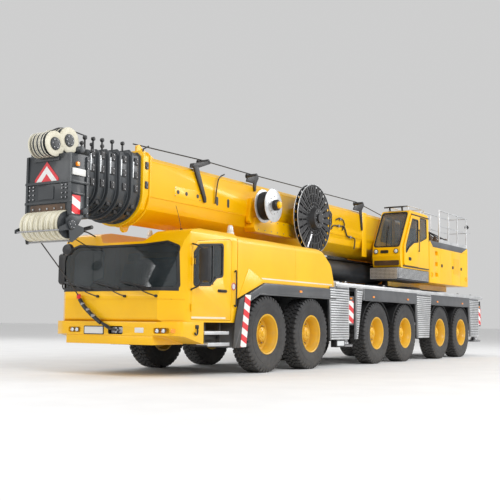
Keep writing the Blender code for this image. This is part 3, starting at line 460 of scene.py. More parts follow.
REFLECTIVE = Paint("reflective strip", "deck_aluminium", colour=(0.86, 0.8, 0.62), shade=(0.78, 0.7, 0.5), rough=0.3,
                   coat=0.5, dust=0.1, peel=0.15)
SILVER = Metal("deck aluminium", "deck_aluminium", colour=(0.74, 0.75, 0.76), shade=(0.5, 0.51, 0.52), rough=0.42,
               metallic=0.75)
GALVANISED = Metal("galvanised tube", "deck_aluminium", colour=(0.72, 0.73, 0.74), shade=(0.5, 0.51, 0.52), rough=0.4,
                   metallic=0.8, brush=(20.0, 20.0, 4.0))
CHROME = Metal("plated steel", "bright_steel", colour=(0.82, 0.82, 0.84), shade=(0.66, 0.66, 0.68), rough=0.16,
               bump=0.03)
STEEL = Metal("machined steel", "bright_steel", colour=(0.42, 0.42, 0.43), shade=(0.26, 0.26, 0.27), rough=0.38,
              brush=(30.0, 30.0, 3.0))
TYRE = Moulded("tyre rubber", "tyre", colour=(0.018, 0.018, 0.02), shade=(0.036, 0.037, 0.04), rough=0.72, grain=120.0,
               depth=0.25, dust=0.35)
BLACK = Moulded("black plastic", "reel_black", colour=(0.012, 0.012, 0.013), shade=(0.024, 0.024, 0.026), rough=0.45)
RUBBER = Moulded("seal rubber", "black_rubber", colour=(0.012, 0.012, 0.012), shade=(0.022, 0.022, 0.022), rough=0.6)
NYLON = Moulded("cream nylon", "sheave_nylon", colour=(0.6, 0.56, 0.43), shade=(0.78, 0.75, 0.62), rough=0.45,
                grain=60.0, depth=0.12)
RUST = Moulded("oiled brown steel", "dark_steel", colour=(0.05, 0.028, 0.016), shade=(0.14, 0.075, 0.035), rough=0.5,
               grain=90.0)
CABIN = Moulded("cabin trim", "seat_fabric", colour=(0.045, 0.047, 0.05), shade=(0.075, 0.077, 0.08), rough=0.7)
SEAT_CLOTH = Cloth("seat weave", "seat_fabric")
GLASS = Pane("cab glass", "cab_glass")
CRANE_GLASS = Pane("operator glass", "cab_glass", colour=(0.05, 0.065, 0.07), film=(0.16, 0.19, 0.2), cover=0.34)
AMBER = Lens("amber lens", "lamp_plastic", colour=(0.95, 0.28, 0.01), glow=0.25)
CLEAR_LENS = Lens("clear lens", "lamp_plastic", colour=(0.75, 0.78, 0.8), glow=0.1)
RED = Moulded("red plastic", "lamp_plastic", colour=(0.55, 0.01, 0.02), shade=(0.7, 0.02, 0.03), rough=0.35)
ROPE = Strand("steel rope", "dark_steel")
HOSE = Strand("rubber hose", "black_rubber", colour=(0.035, 0.035, 0.037), shade=(0.014, 0.014, 0.015), scale=60.0)
SIDE_STRIPES = Stripes("side stripes", "lamp_plastic", slope=(-0.45, 0.0, 1.0), width=0.105)
ACROSS_STRIPES = Stripes("cross stripes", "lamp_plastic", slope=(0.0, 0.8, 1.0), width=0.09)


# ---------------------------------------------------------------- shapes


def fillet(outline: Sequence[Point], radius: float | Sequence[float], steps: int = 5) -> list[Point]:
    """Rounds the corners of a closed outline.

    Args:
        outline: Corners in order.
        radius: One radius, or one for each corner.
        steps: Segments of each rounded corner.

    Returns:
        The rounded outline.
    """
    radii = list(radius) if isinstance(radius, Sequence) else [radius] * len(outline)
    corners = [Vector(point) for point in outline]
    rounded: list[Point] = []
    for index, corner in enumerate(corners):
        back = corners[index - 1] - corner
        ahead = corners[(index + 1) % len(corners)] - corner
        if radii[index] <= 0:
            rounded.append(tuple(corner))
            continue
        half = back.angle(ahead) / 2
        reach = min(radii[index] / math.tan(half), 0.49 * back.length, 0.49 * ahead.length)
        size = reach * math.tan(half)
        middle = corner + (back.normalized() + ahead.normalized()).normalized() * size / math.sin(half)
        start = corner + back.normalized() * reach - middle
        sweep = start.angle_signed(corner + ahead.normalized() * reach - middle)
        for step in range(steps + 1):
            spot = middle + Matrix.Rotation(-sweep * step / steps, 2) @ start
            rounded.append(tuple(spot))
    return rounded


def square(low: Point, high: Point) -> list[Point]:
    """The corners of a rectangle between two of them."""
    return [low, (high[0], low[1]), high, (low[0], high[1])]


def rounded(low: Point, high: Point, radius: float | Sequence[float], steps: int = 5) -> list[Point]:
    """A rectangle between two corners, with its corners rounded."""
    return fillet(square(low, high), radius, steps)


def beside(sign: int, near: float, far: float) -> tuple[float, float]:
    """Two distances from the centre line on one side, the lower one first."""
    return (near, far) if sign > 0 else (-far, -near)


def ring(centre: Point, radius: float, count: int = 24) -> list[Point]:
    """Points round a circle."""
    return [(centre[0] + radius * math.cos(2 * math.pi * i / count),
             centre[1] + radius * math.sin(2 * math.pi * i / count)) for i in range(count)]


def smooth_path(points: Sequence[Place], steps: int = 6) -> list[Vector]:
    """A smooth curve through the points.

    Args:
        points: Points that it passes through.
        steps: Pieces between two points.

    Returns:
        Points of the curve.
    """
    spots = [Vector(point) for point in points]
    ends = [spots[0] * 2 - spots[1], *spots, spots[-1] * 2 - spots[-2]]
    path = []
    for i in range(1, len(ends) - 2):
        a, b, c, d = ends[i - 1:i + 3]
        for step in range(steps):
            t = step / steps
            path.append(0.5 * (2 * b + (c - a) * t + (2 * a - 5 * b + 4 * c - d) * t * t
                               + (3 * b - a - 3 * c + d) * t ** 3))
    return [*path, spots[-1]]


class Form:
    """A mesh put together from closed shapes, each in one of its finishes."""

    def __init__(self, *finishes: Finish) -> None:
        """Starts an empty form.

        Args:
            finishes: The finishes its shapes can take, the first as the usual one.
        """
        self.mesh = bmesh.new()
        self.finishes = list(finishes)
        self.current = 0

    def use(self, finish: Finish) -> "Form":
        """The shapes that follow take this finish.

        Args:
            finish: The finish.

        Returns:
            The form.
        """
        if finish not in self.finishes:
            self.finishes.append(finish)
        self.current = self.finishes.index(finish)
        return self

    def _keep(self, faces: Iterable[bmesh.types.BMFace]) -> None:
        """Turns a new closed shape's faces outwards and gives them the current finish.

        Args:
            faces: The new shape's faces.
        """
        faces = [face for face in faces if face.is_valid]
        bmesh.ops.recalc_face_normals(self.mesh, faces=faces)
        for face in faces:
            face.material_index = self.current

    def box(self, low: Place, high: Place, turn: Matrix | None = None) -> "Form":
        """A block between two corners, turned about its own middle.

        Args:
            low: Lowest corner.
            high: Highest corner.
            turn: Rotation about the block's middle.

        Returns:
            The form.
        """
        size = Vector(high) - Vector(low)
        middle = (Vector(high) + Vector(low)) / 2
        matrix = Matrix.Translation(middle) @ (turn or Matrix.Identity(4)) @ Matrix.Diagonal((*size, 1.0))
        made = bmesh.ops.create_cube(self.mesh, size=1.0, matrix=matrix)
        self._keep({face for vert in made["verts"] for face in vert.link_faces})
        return self

    def prism(self, outline: Sequence[Point], low: float, high: float, across: Axis) -> "Form":
        """An outline drawn out along an axis.

        Args:
            outline: Closed outline across the axis.
            low: Start along the axis.
            high: End along the axis.
            across: The axis.

        Returns:
            The form.
        """
        ends = [[self.mesh.verts.new(across.place(point, along)) for point in outline] for along in (low, high)]
        return self.skin(ends, True)

    def loft(self, sections: Sequence[Sequence[Place]]) -> "Form":
        """A closed body through sections with equal counts of points."""
        return self.skin([[self.mesh.verts.new(point) for point in section] for section in sections], True)

    def skin(self, rows: Sequence[Sequence[bmesh.types.BMVert]], capped: bool) -> "Form":
        """Faces between rows of points, with the ends closed where asked.

        Args:
            rows: Rows with equal counts of points.
            capped: True to close both ends.

        Returns:
            The form.
        """
        faces = []
        for first, second in zip(rows, rows[1:]):
            for i in range(len(first)):
                quad = (first[i - 1], first[i], second[i], second[i - 1])
                faces.append(self.mesh.faces.new(quad))
        if capped:
            faces += [self.mesh.faces.new(rows[0]), self.mesh.faces.new(rows[-1])]
        self._keep(faces)
        return self

    def turned(self, profile: Sequence[Point], centre: Place, axis: Axis, steps: int = 32,
               flip: bool = False) -> "Form":
        """A profile turned round an axis.

        Args:
            profile: Closed or axis-to-axis outline as (along, radius).
            centre: Where along is 0.
            axis: The axis it turns round.
            steps: Segments round.
            flip: Runs the profile the other way along the axis.

        Returns:
            The form.
        """
        turn = Matrix.Translation(centre) @ axis.turn()
        sign = -1 if flip else 1
        closed = profile[0][1] > 1e-6
        rows, faces = [], []
        for along, radius in profile:
            if radius < 1e-6:
                rows.append([self.mesh.verts.new(turn @ Vector((0, 0, sign * along)))] * steps)
                continue
            rows.append([self.mesh.verts.new(turn @ Vector((radius * math.cos(2 * math.pi * i / steps),
                                                           radius * math.sin(2 * math.pi * i / steps), sign * along)))
                         for i in range(steps)])
        pairs = list(zip(rows, rows[1:])) + ([(rows[-1], rows[0])] if closed else [])
        for first, second in pairs:
            for i in range(steps):
                corners = list(dict.fromkeys((first[i - 1], first[i], second[i], second[i - 1])))
                if len(corners) > 2:
                    faces.append(self.mesh.faces.new(corners))
        self._keep(faces)
        return self

    def disc(self, centre: Place, radius: float, length: float, axis: Axis, steps: int = 24,
             edge: float = 0.0) -> "Form":
        """A round bar whose middle is the centre, with its rims chamfered.

        Args:
            centre: Middle of the bar.
            radius: Its radius.
            length: Its length.
            axis: Its axis.
            steps: Segments round.
            edge: Width of the chamfer.

        Returns:
            The form.
        """
        half = length / 2
        cut = min(edge, radius * 0.4, half * 0.8)
        profile = [(-half, 0.0), (-half, radius - cut), (cut - half, radius), (half - cut, radius),
                   (half, radius - cut), (half, 0.0)]
        if not cut:
            profile = [(-half, 0.0), (-half, radius), (half, radius), (half, 0.0)]
        return self.turned(profile, centre, axis, steps)

    def rod(self, points: Sequence[Place], radius: float, steps: int = 8, flat: float = 1.0) -> "Form":
        """A round or flattened bar along a path.

        Args:
            points: The path.
            radius: Radius of the bar.
            steps: Segments round.
            flat: Second radius as a share of the first.

        Returns:
            The form.
        """
        path = [Vector(point) for point in points]
        heading = (path[1] - path[0]).normalized()
        side = heading.orthogonal().normalized()
        rows = []
        for index, spot in enumerate(path):
            before = path[max(index - 1, 0)]
            after = path[min(index + 1, len(path) - 1)]
            new = (after - before).normalized()
            side = (heading.rotation_difference(new) @ side).normalized()
            heading = new
            up = heading.cross(side)
            rows.append([self.mesh.verts.new(spot + side * (radius * math.cos(2 * math.pi * i / steps))
                                             + up * (radius * flat * math.sin(2 * math.pi * i / steps)))
                         for i in range(steps)])
        return self.skin(rows, True)

    def tube(self, points: Sequence[Place], radius: float, steps: int = 8, flat: float = 1.0) -> "Form":
        """A bar along a smooth curve through the points."""
        return self.rod(smooth_path(points), radius, steps, flat)

    def object(self, name: str) -> bpy.types.Object:
        """The form as a scene object with its finishes.

        Args:
            name: Name of the result.

        Returns:
            The object, which uses the form up.
        """
        data = bpy.data.meshes.new(name)
        self.mesh.to_mesh(data)
        self.mesh.free()
        for finish in self.finishes:
            data.materials.append(finish.make())
        return linked(name, data)

    def piece(self, name: str, body: str, bevel: float = 0.0, replaces: Sequence[str] = (), segments: int = 2,
              smooth: float = 38.0, slot: str = "") -> bpy.types.Object:
        """Finishes the form as a piece that rides on a body."""
        slot = slot or self.finishes[0].slot
        return settle(self.object(name), body, bevel, replaces, segments, smooth)


def linked(name: str, data: bpy.types.ID | None) -> bpy.types.Object:
    """A new object of the scene with this data."""
    made = bpy.data.objects.new(name, data)
    bpy.context.scene.collection.objects.link(made)
    return made


def refinished(made: bpy.types.Object, finish: Finish) -> bpy.types.Object:
    """The object with all its faces in one finish.

    Args:
        made: The object.
        finish: The finish.

    Returns:
        The same object.
    """
    made.data.materials.clear()
    made.data.materials.append(finish.make())
    for face in made.data.polygons:
        face.material_index = 0
    return made


def baked(made: bpy.types.Object) -> bpy.types.Object:
    """The object as a plain mesh with its modifiers applied.

    Args:
        made: The object.

    Returns:
        The same object.
    """
    bpy.context.view_layer.update()
    graph = bpy.context.evaluated_depsgraph_get()
    data = bpy.data.meshes.new_from_object(made.evaluated_get(graph))
    made.modifiers.clear()
    made.data = data
    return made


def settle(made: bpy.types.Object, body: str, bevel: float, replaces: Sequence[str], segments: int = 2,
           smooth: float = 38.0) -> bpy.types.Object:
    """Rounds edges, shades and rides a made object.

    Args:
        made: The object, in place.
        body: The CAD body that it rides on.
        bevel: Width of its rounded edges.
        replaces: CAD nodes that it stands for.
        segments: Segments of the rounded edges.
        smooth: Largest angle in degrees that is shaded smooth.

    Returns:
        The piece.
    """
    if bevel:
        edge = made.modifiers.new("edges", "BEVEL")
        edge.width = bevel
        edge.segments = segments
        edge.limit_method = "ANGLE"
        edge.angle_limit = EDGE_ANGLE
        edge.use_clamp_overlap = True
        made = baked(made)
    made.data.name = made.name
    made.data.shade_smooth()
    made.data.set_sharp_from_angle(angle=math.radians(smooth))
    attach(made, body)
    if replaces:
        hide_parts(*replaces)
    LOG.info("%s rides on %s with %d faces", made.name, body, len(made.data.polygons))
    return made


def carve(base: bpy.types.Object, tools: Sequence[bpy.types.Object], operation: str = "DIFFERENCE") -> bpy.types.Object:
    """Cuts, joins or crosses an object with others, which are used up.

    Args:
        base: The object that is worked on.
        tools: The objects that shape it.
        operation: DIFFERENCE, UNION or INTERSECT.

    Returns:
        The shaped object.
    """
    for tool in tools:
        step = base.modifiers.new("carve", "BOOLEAN")
        step.operation = operation
        step.solver = "EXACT"
        step.object = tool
    base = baked(base)
    for tool in tools:
        bpy.data.objects.remove(tool, do_unlink=True)
    return base


def slab(outline: Sequence[Point], low: float, high: float, across: Axis, *finishes: Finish) -> bpy.types.Object:
    """A prism as an object of its own, for carving."""
    return Form(*finishes).prism(outline, low, high, across).object("slab")


def copied(made: bpy.types.Object) -> bpy.types.Object:
    """A second object with its own mesh.

    Args:
        made: The object.

    Returns:
        The copy.
    """
    twin = made.copy()
    twin.data = made.data.copy()
    bpy.context.scene.collection.objects.link(twin)
    return twin


def outline_of(node: str) -> bpy.types.Object:
    """A merged copy of a CAD node's mesh, with its flat faces whole.

    Args:
        node: Name of the CAD node.

    Returns:
        The copy, without a finish.
    """
    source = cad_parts[node]
    data = source.data.copy()
    data.materials.clear()
    shell = bmesh.new()
    shell.from_mesh(data)
    bmesh.ops.remove_doubles(shell, verts=shell.verts, dist=0.0001)
    bmesh.ops.dissolve_limit(shell, angle_limit=math.radians(1.0), verts=shell.verts, edges=shell.edges)
    shell.to_mesh(data)
    shell.free()
    return linked("copy", data)


def dress_node(node: str, body: str, chooser: Callable[[Vector, Vector], int], finishes: Sequence[Finish],
               bevel: float = 0.006) -> bpy.types.Object:
    """A CAD node's own shape with rounded edges and finishes chosen face by face.

    Args:
        node: The CAD node.
        body: Its body.
        chooser: Gives a finish's number from a face's middle and normal.
        finishes: The finishes.
        bevel: Width of the rounded edges.

    Returns:
        The piece that stands for the node.
    """
    made = outline_of(node)
    made.name = node + "_dressed"
    for finish in finishes:
        made.data.materials.append(finish.make())
    for face in made.data.polygons:
        face.material_index = chooser(face.center, face.normal)
    return settle(made, body, bevel, (node,))


def plain_choice(_middle: Vector, _normal: Vector) -> int:
    """Every face takes the first finish."""
    return 0


class Repeat:
    """Geometry Nodes trees that repeat a template in a row, a grid or a ring."""

    def __init__(self, ringed: bool) -> None:
        """Builds the tree.

        Args:
            ringed: True to turn the copies round Z, False to step them along two directions.
        """
        self.ringed = ringed
        self.tree = bpy.data.node_groups.new("repeat in a ring" if ringed else "repeat in a grid", "GeometryNodeTree")
        self.sockets: dict[str, str] = {}
        for name, kind in (("Template", "Object"), ("Columns", "Int"), ("Rows", "Int"), ("Step", "Vector"),
                           ("Rise", "Vector"), ("Finish", "Material")):
            item = self.tree.interface.new_socket(name=name, in_out="INPUT", socket_type="NodeSocket" + kind)
            self.sockets[name] = item.identifier
        self.tree.interface.new_socket(name="Geometry", in_out="OUTPUT", socket_type="NodeSocketGeometry")
        self._wire()

    def _node(self, kind: str, links: dict, **settings: object) -> bpy.types.Node:
        """Adds a node to the tree with its links and settings."""
        return add_node(self.tree, kind, links, **settings)

    def _wire(self) -> None:
        """Links points, places, turns and the template."""
        asked = self._node("NodeGroupInput", {}).outputs
        count = self._node("ShaderNodeMath", {0: asked["Columns"], 1: asked["Rows"]}, operation="MULTIPLY")
        line = self._node("GeometryNodeMeshLine", {"Count": count.outputs[0], "Offset": (0.0, 0.0, 0.0)})
        index = self._node("GeometryNodeInputIndex", {}).outputs[0]
        column = self._node("ShaderNodeMath", {0: index, 1: asked["Columns"]}, operation="FLOORED_MODULO").outputs[0]
        share = self._node("ShaderNodeMath", {0: index, 1: asked["Columns"]}, operation="DIVIDE").outputs[0]
        row = self._node("ShaderNodeMath", {0: share}, operation="FLOOR").outputs[0]
        rise = self._node("ShaderNodeVectorMath", {0: asked["Rise"], "Scale": row}, operation="SCALE").outputs[0]
        step = self._node("ShaderNodeVectorMath", {0: asked["Step"], "Scale": column}, operation="SCALE").outputs[0]
        place = rise if self.ringed else self._node("ShaderNodeVectorMath", {0: rise, 1: step}).outputs[0]
        moved = self._node("GeometryNodeSetPosition", {"Geometry": line.outputs[0], "Offset": place})
        template = self._node("GeometryNodeObjectInfo", {"Object": asked["Template"]})
        links = {"Points": moved.outputs[0], "Instance": template.outputs["Geometry"]}
        if self.ringed:
            full = self._node("ShaderNodeMath", {0: column, 1: asked["Columns"]}, operation="DIVIDE").outputs[0]
            angle = self._node("ShaderNodeMath", {0: full, 1: 2 * math.pi}, operation="MULTIPLY").outputs[0]
            links["Rotation"] = self._node("ShaderNodeCombineXYZ", {"Z": angle}).outputs[0]
        placed = self._node("GeometryNodeInstanceOnPoints", links)
        real = self._node("GeometryNodeRealizeInstances", {"Geometry": placed.outputs[0]})
        dressed = self._node("GeometryNodeSetMaterial", {"Geometry": real.outputs[0], "Material": asked["Finish"]})
        out = self._node("NodeGroupOutput", {})
        self.tree.links.new(dressed.outputs[0], out.inputs[0])

    def made(self, name: str, template: Form, finish: Finish, columns: int, rows: int = 1,
             step: Place = (0.0, 0.0, 0.0), rise: Place = (0.0, 0.0, 0.0), place: Matrix | None = None
             ) -> bpy.types.Object:
        """The repeated template as a plain mesh.

        Args:
            name: Name of the result.
            template: One copy, drawn where the first one goes.
            finish: Finish of all copies.
            columns: Copies in a row or ring.
            rows: Rows or rings.
            step: From one copy to the next in a row.
            rise: From one row or ring to the next.
            place: Where the whole pattern goes.

        Returns:
            An object with its place in its mesh.
        """
        source = template.object("template")
        source.hide_render = True
        holder = linked(name, bpy.data.meshes.new(name))
        nodes = holder.modifiers.new("repeat", "NODES")
        nodes.node_group = self.tree
        values = {"Template": source, "Columns": columns, "Rows": rows, "Step": step, "Rise": rise,
                  "Finish": finish.make()}
        for key, value in values.items():
            nodes[self.sockets[key]] = value
        holder = baked(holder)
        holder.data.transform(place or Matrix.Identity(4))
        bpy.data.objects.remove(source, do_unlink=True)
        if not holder.data.materials:
            holder.data.materials.append(finish.make())
        return holder


GRID = Repeat(False)
RING = Repeat(True)


def merged(name: str, parts: Sequence[bpy.types.Object]) -> bpy.types.Object:
    """Several objects as one, each face keeping its finish.

    Args:
        name: Name of the result.
        parts: The objects, which are used up.

    Returns:
        The merged object.
    """
    whole = bmesh.new()
    finishes: list[bpy.types.Material] = []
    for part in parts:
        numbers = []
        for material in part.data.materials:
            if material not in finishes:
                finishes.append(material)
            numbers.append(finishes.index(material))
        before = len(whole.faces)
        whole.from_mesh(part.data)
        whole.faces.ensure_lookup_table()
        for face in whole.faces[before:]:
            face.material_index = numbers[min(face.material_index, len(numbers) - 1)]
        bpy.data.objects.remove(part, do_unlink=True)
    data = bpy.data.meshes.new(name)
    whole.to_mesh(data)
    whole.free()
    for material in finishes:
        data.materials.append(material)
    return linked(name, data)


def inset(outline: Sequence[Point], amount: float) -> list[Point]:
    """A closed outline with each side moved in, or out for a negative amount.

    Args:
        outline: Corners in order.
        amount: How far each side moves in.

    Returns:
        The new corners.
    """
    corners = [Vector(point) for point in outline]
    count = len(corners)
    area = sum(corners[i - 1].cross(corners[i]) for i in range(count))
    sign = 1 if area > 0 else -1
    moved = []
    for i, corner in enumerate(corners):
        before = (corner - corners[i - 1]).normalized()
        after = (corners[(i + 1) % count] - corner).normalized()
        first, second = Vector((-before.y, before.x)), Vector((-after.y, after.x))
        moved.append(tuple(corner + (first + second) / (1 + first.dot(second)) * sign * amount))
    return moved


def bolts(form: Form, places: Iterable[Place], radius: float, length: float, axis: Axis) -> Form:
    """Adds hexagonal heads with chamfered rims."""
    for place in places:
        form.disc(place, radius, length, axis, 6, radius * 0.15)
    return form


def cushion(form: Form, name: str, body: str, limit: float = 0.012,
            replaces: Sequence[str] = ()) -> bpy.types.Object:
    """A pad puffed up by cloth simulation, with its movement capped.

    Args:
        form: The pad's slack shape in its cloth.
        name: Name of the piece.
        body: Body that it rides on.
        limit: Furthest that a point may move.
        replaces: CAD nodes that it stands for.

    Returns:
        The padded piece.
    """
    made = form.object(name)
    voxels = made.modifiers.new("voxels", "REMESH")
    voxels.mode = "VOXEL"
    voxels.voxel_size = CUSHION_VOXEL
    made = baked(made)
    start = [vert.co.copy() for vert in made.data.vertices]
    cloth = made.modifiers.new("puff", "CLOTH")
    cloth.settings.use_pressure = True
    cloth.settings.uniform_pressure_force = CUSHION_PRESSURE
    cloth.settings.effector_weights.gravity = 0.0
    cloth.point_cache.frame_start = 1
    cloth.point_cache.frame_end = CUSHION_FRAMES
    for step in range(1, CUSHION_FRAMES + 1):
        bpy.context.scene.frame_set(step)
    made = baked(made)
    bpy.context.scene.frame_set(1)
    for vert, before in zip(made.data.vertices, start):
        moved = vert.co - before
        if moved.length > limit:
            vert.co = before + moved.normalized() * limit
    soft = made.modifiers.new("soft", "SUBSURF")
    soft.levels = soft.render_levels = 1
    made = baked(made)
    settle(made, body, 0.0, replaces, smooth=60.0)
    return made


# ---------------------------------------------------------------- road wheels


@dataclass
class RoadWheels:
    """Twelve tyres on deep steel rims, one master copied to each place."""

    plane: float = 1.1825
    pitches: int = 44
    tyre: tuple[Point, ...] = ((0.15, 0.345), (0.168, 0.36), (0.172, 0.395), (0.186, 0.44), (0.1925, 0.5),
                               (0.1925, 0.535), (0.188, 0.538), (0.189, 0.548), (0.187, 0.585), (0.181, 0.615),
                               (0.1775, 0.618), (0.176, 0.632), (0.165, 0.648), (0.14, 0.658), (0.0, 0.661))
    rim: tuple[Point, ...] = ((0.085, 0.0), (0.085, 0.05), (0.078, 0.1), (0.06, 0.125), (0.0, 0.135), (-0.022, 0.15),
                              (-0.03, 0.165), (-0.03, 0.262), (-0.015, 0.285), (0.1, 0.3), (0.125, 0.318), (0.15, 0.33),
                              (0.168, 0.338), (0.174, 0.35), (0.176, 0.362), (0.166, 0.366), (0.15, 0.345),
                              (-0.15, 0.345), (-0.166, 0.366), (-0.172, 0.362), (-0.172, 0.335), (-0.14, 0.325),
                              (-0.07, 0.3), (-0.07, 0.0))

    def build(self) -> None:
        """Makes the master at the origin and copies it to the twelve places."""
        master = merged("road_wheel", [self.rubber(), self.tread(), self.disc(), self.nuts()])
        for number, x in enumerate(AXLES, start=1):
            for side, sign in SIDES:
                wheel = copied(master)
                wheel.name = f"road_wheel_{number}_{side}"
                spin = Matrix.Rotation(0.37 * number + 0.2 * sign, 4, "Y")
                turn = Matrix.Rotation(0.0 if sign > 0 else math.pi, 4, "Z")
                wheel.data.transform(Matrix.Translation((x, sign * self.plane, WHEEL_HEIGHT)) @ spin @ turn)
                node = f"wheel_{number}_{side}"
                settle(wheel, node, 0.0, (node,), smooth=32.0)
        bpy.data.objects.remove(master, do_unlink=True)

    def rubber(self) -> bpy.types.Object:
        """The tyre's casing, mirrored about its middle."""
        other = [(-along, radius) for along, radius in reversed(self.tyre[:-1])]
        return Form(TYRE).turned([*self.tyre, *other], (0, 0, 0), Axis.Y, 72).object("casing")

    def tread(self) -> bpy.types.Object:
        """Staggered slanted blocks with lugs down the shoulders.

        Returns:
            The tread as an object.
        """
        block = Form(TYRE)
        for sign, shift in ((1, 0.0), (-1, 0.5)):
            for low, high, push in ((0.006, 0.05, 0.25), (0.06, 0.104, 0.0)):
                self.block(block, sign, low, high, 0.094 * (shift + push - 0.4), 0.03)
            self.lug(block, sign, 0.094 * (shift - 0.2))
        return RING.made("tread", block, TYRE, self.pitches, place=Axis.Y.turn())

    def block(self, form: Form, sign: int, low: float, high: float, shift: float, half: float) -> None:
        """One tapered tread block.

        Args:
            form: Where it goes.
            sign: Side of the tyre.
            low: Edge nearest the middle.
            high: Edge nearest the shoulder.
            shift: Place round the tyre.
            half: Half its length round the tyre.
        """
        rows = []
        for radius, grow in ((0.65, 0.003), (0.6845, 0.0)):
            corners = ((low - grow, -half - grow), (low - grow, half + grow), (high + grow, half + 0.012 + grow),
                       (high + grow, 0.012 - half - grow))
            rows.append([(radius, along + shift, sign * across) for across, along in corners])
        form.loft(rows)

    def lug(self, form: Form, sign: int, shift: float) -> None:
        """One shoulder block that runs down to the sidewall.

        Args:
            form: Where it goes.
            sign: Side of the tyre.
            shift: Place round the tyre.
        """
        rows = []
        for radius, low, high, half in ((0.61, 0.172, 0.1835, 0.022), (0.64, 0.118, 0.179, 0.028),
                                        (0.678, 0.114, 0.166, 0.029), (0.6845, 0.114, 0.157, 0.029)):
            rows.append([(radius, shift - half, sign * low), (radius, shift + half, sign * low),
                         (radius, shift + half + 0.008, sign * high), (radius, shift - half + 0.008, sign * high)])
        form.loft(rows)

    def disc(self) -> bpy.types.Object:
        """The rim and disc in one, with hand holes.

        Returns:
            The rim as an object.
        """
        base = Form(RIM_YELLOW).turned(list(self.rim), (0, 0, 0), Axis.Y, 60).object("rim")
        tool = Form(RIM_YELLOW)
        for spot in ring((0.0, 0.0), 0.236, 10):
            tool.turned([(-0.12, 0.0), (-0.12, 0.021), (0.02, 0.021), (0.02, 0.0)], (spot[0], 0.0, spot[1]), Axis.Y, 14)
        return carve(base, [tool.object("tool")])

    def nuts(self) -> bpy.types.Object:
        """Wheel nuts in a ring, hub bolts and the hub's cap.

        Returns:
            All of them as one object.
        """
        near = Form(STEEL).disc((0.188, 0.0, -0.02), 0.015, 0.03, Axis.Z, 6, 0.003)
        near.disc((0.188, 0.0, 0.0), 0.008, 0.02, Axis.Z, 8, 0.002)
        hub = Form(RIM_YELLOW).disc((0.1, 0.0, 0.078), 0.009, 0.016, Axis.Z, 6, 0.002)
        cap = Form(RIM_YELLOW).turned([(0.08, 0.0), (0.08, 0.058), (0.094, 0.054), (0.104, 0.04), (0.107, 0.0)],
                                      (0, 0, 0), Axis.Y, 28)
        return merged("nuts", [RING.made("near", near, STEEL, 10, place=Axis.Y.turn() @ Matrix.Rotation(0.31, 4, "Z")),
                               RING.made("hub", hub, RIM_YELLOW, 8, place=Axis.Y.turn()), cap.object("cap")])


# ---------------------------------------------------------------- carrier


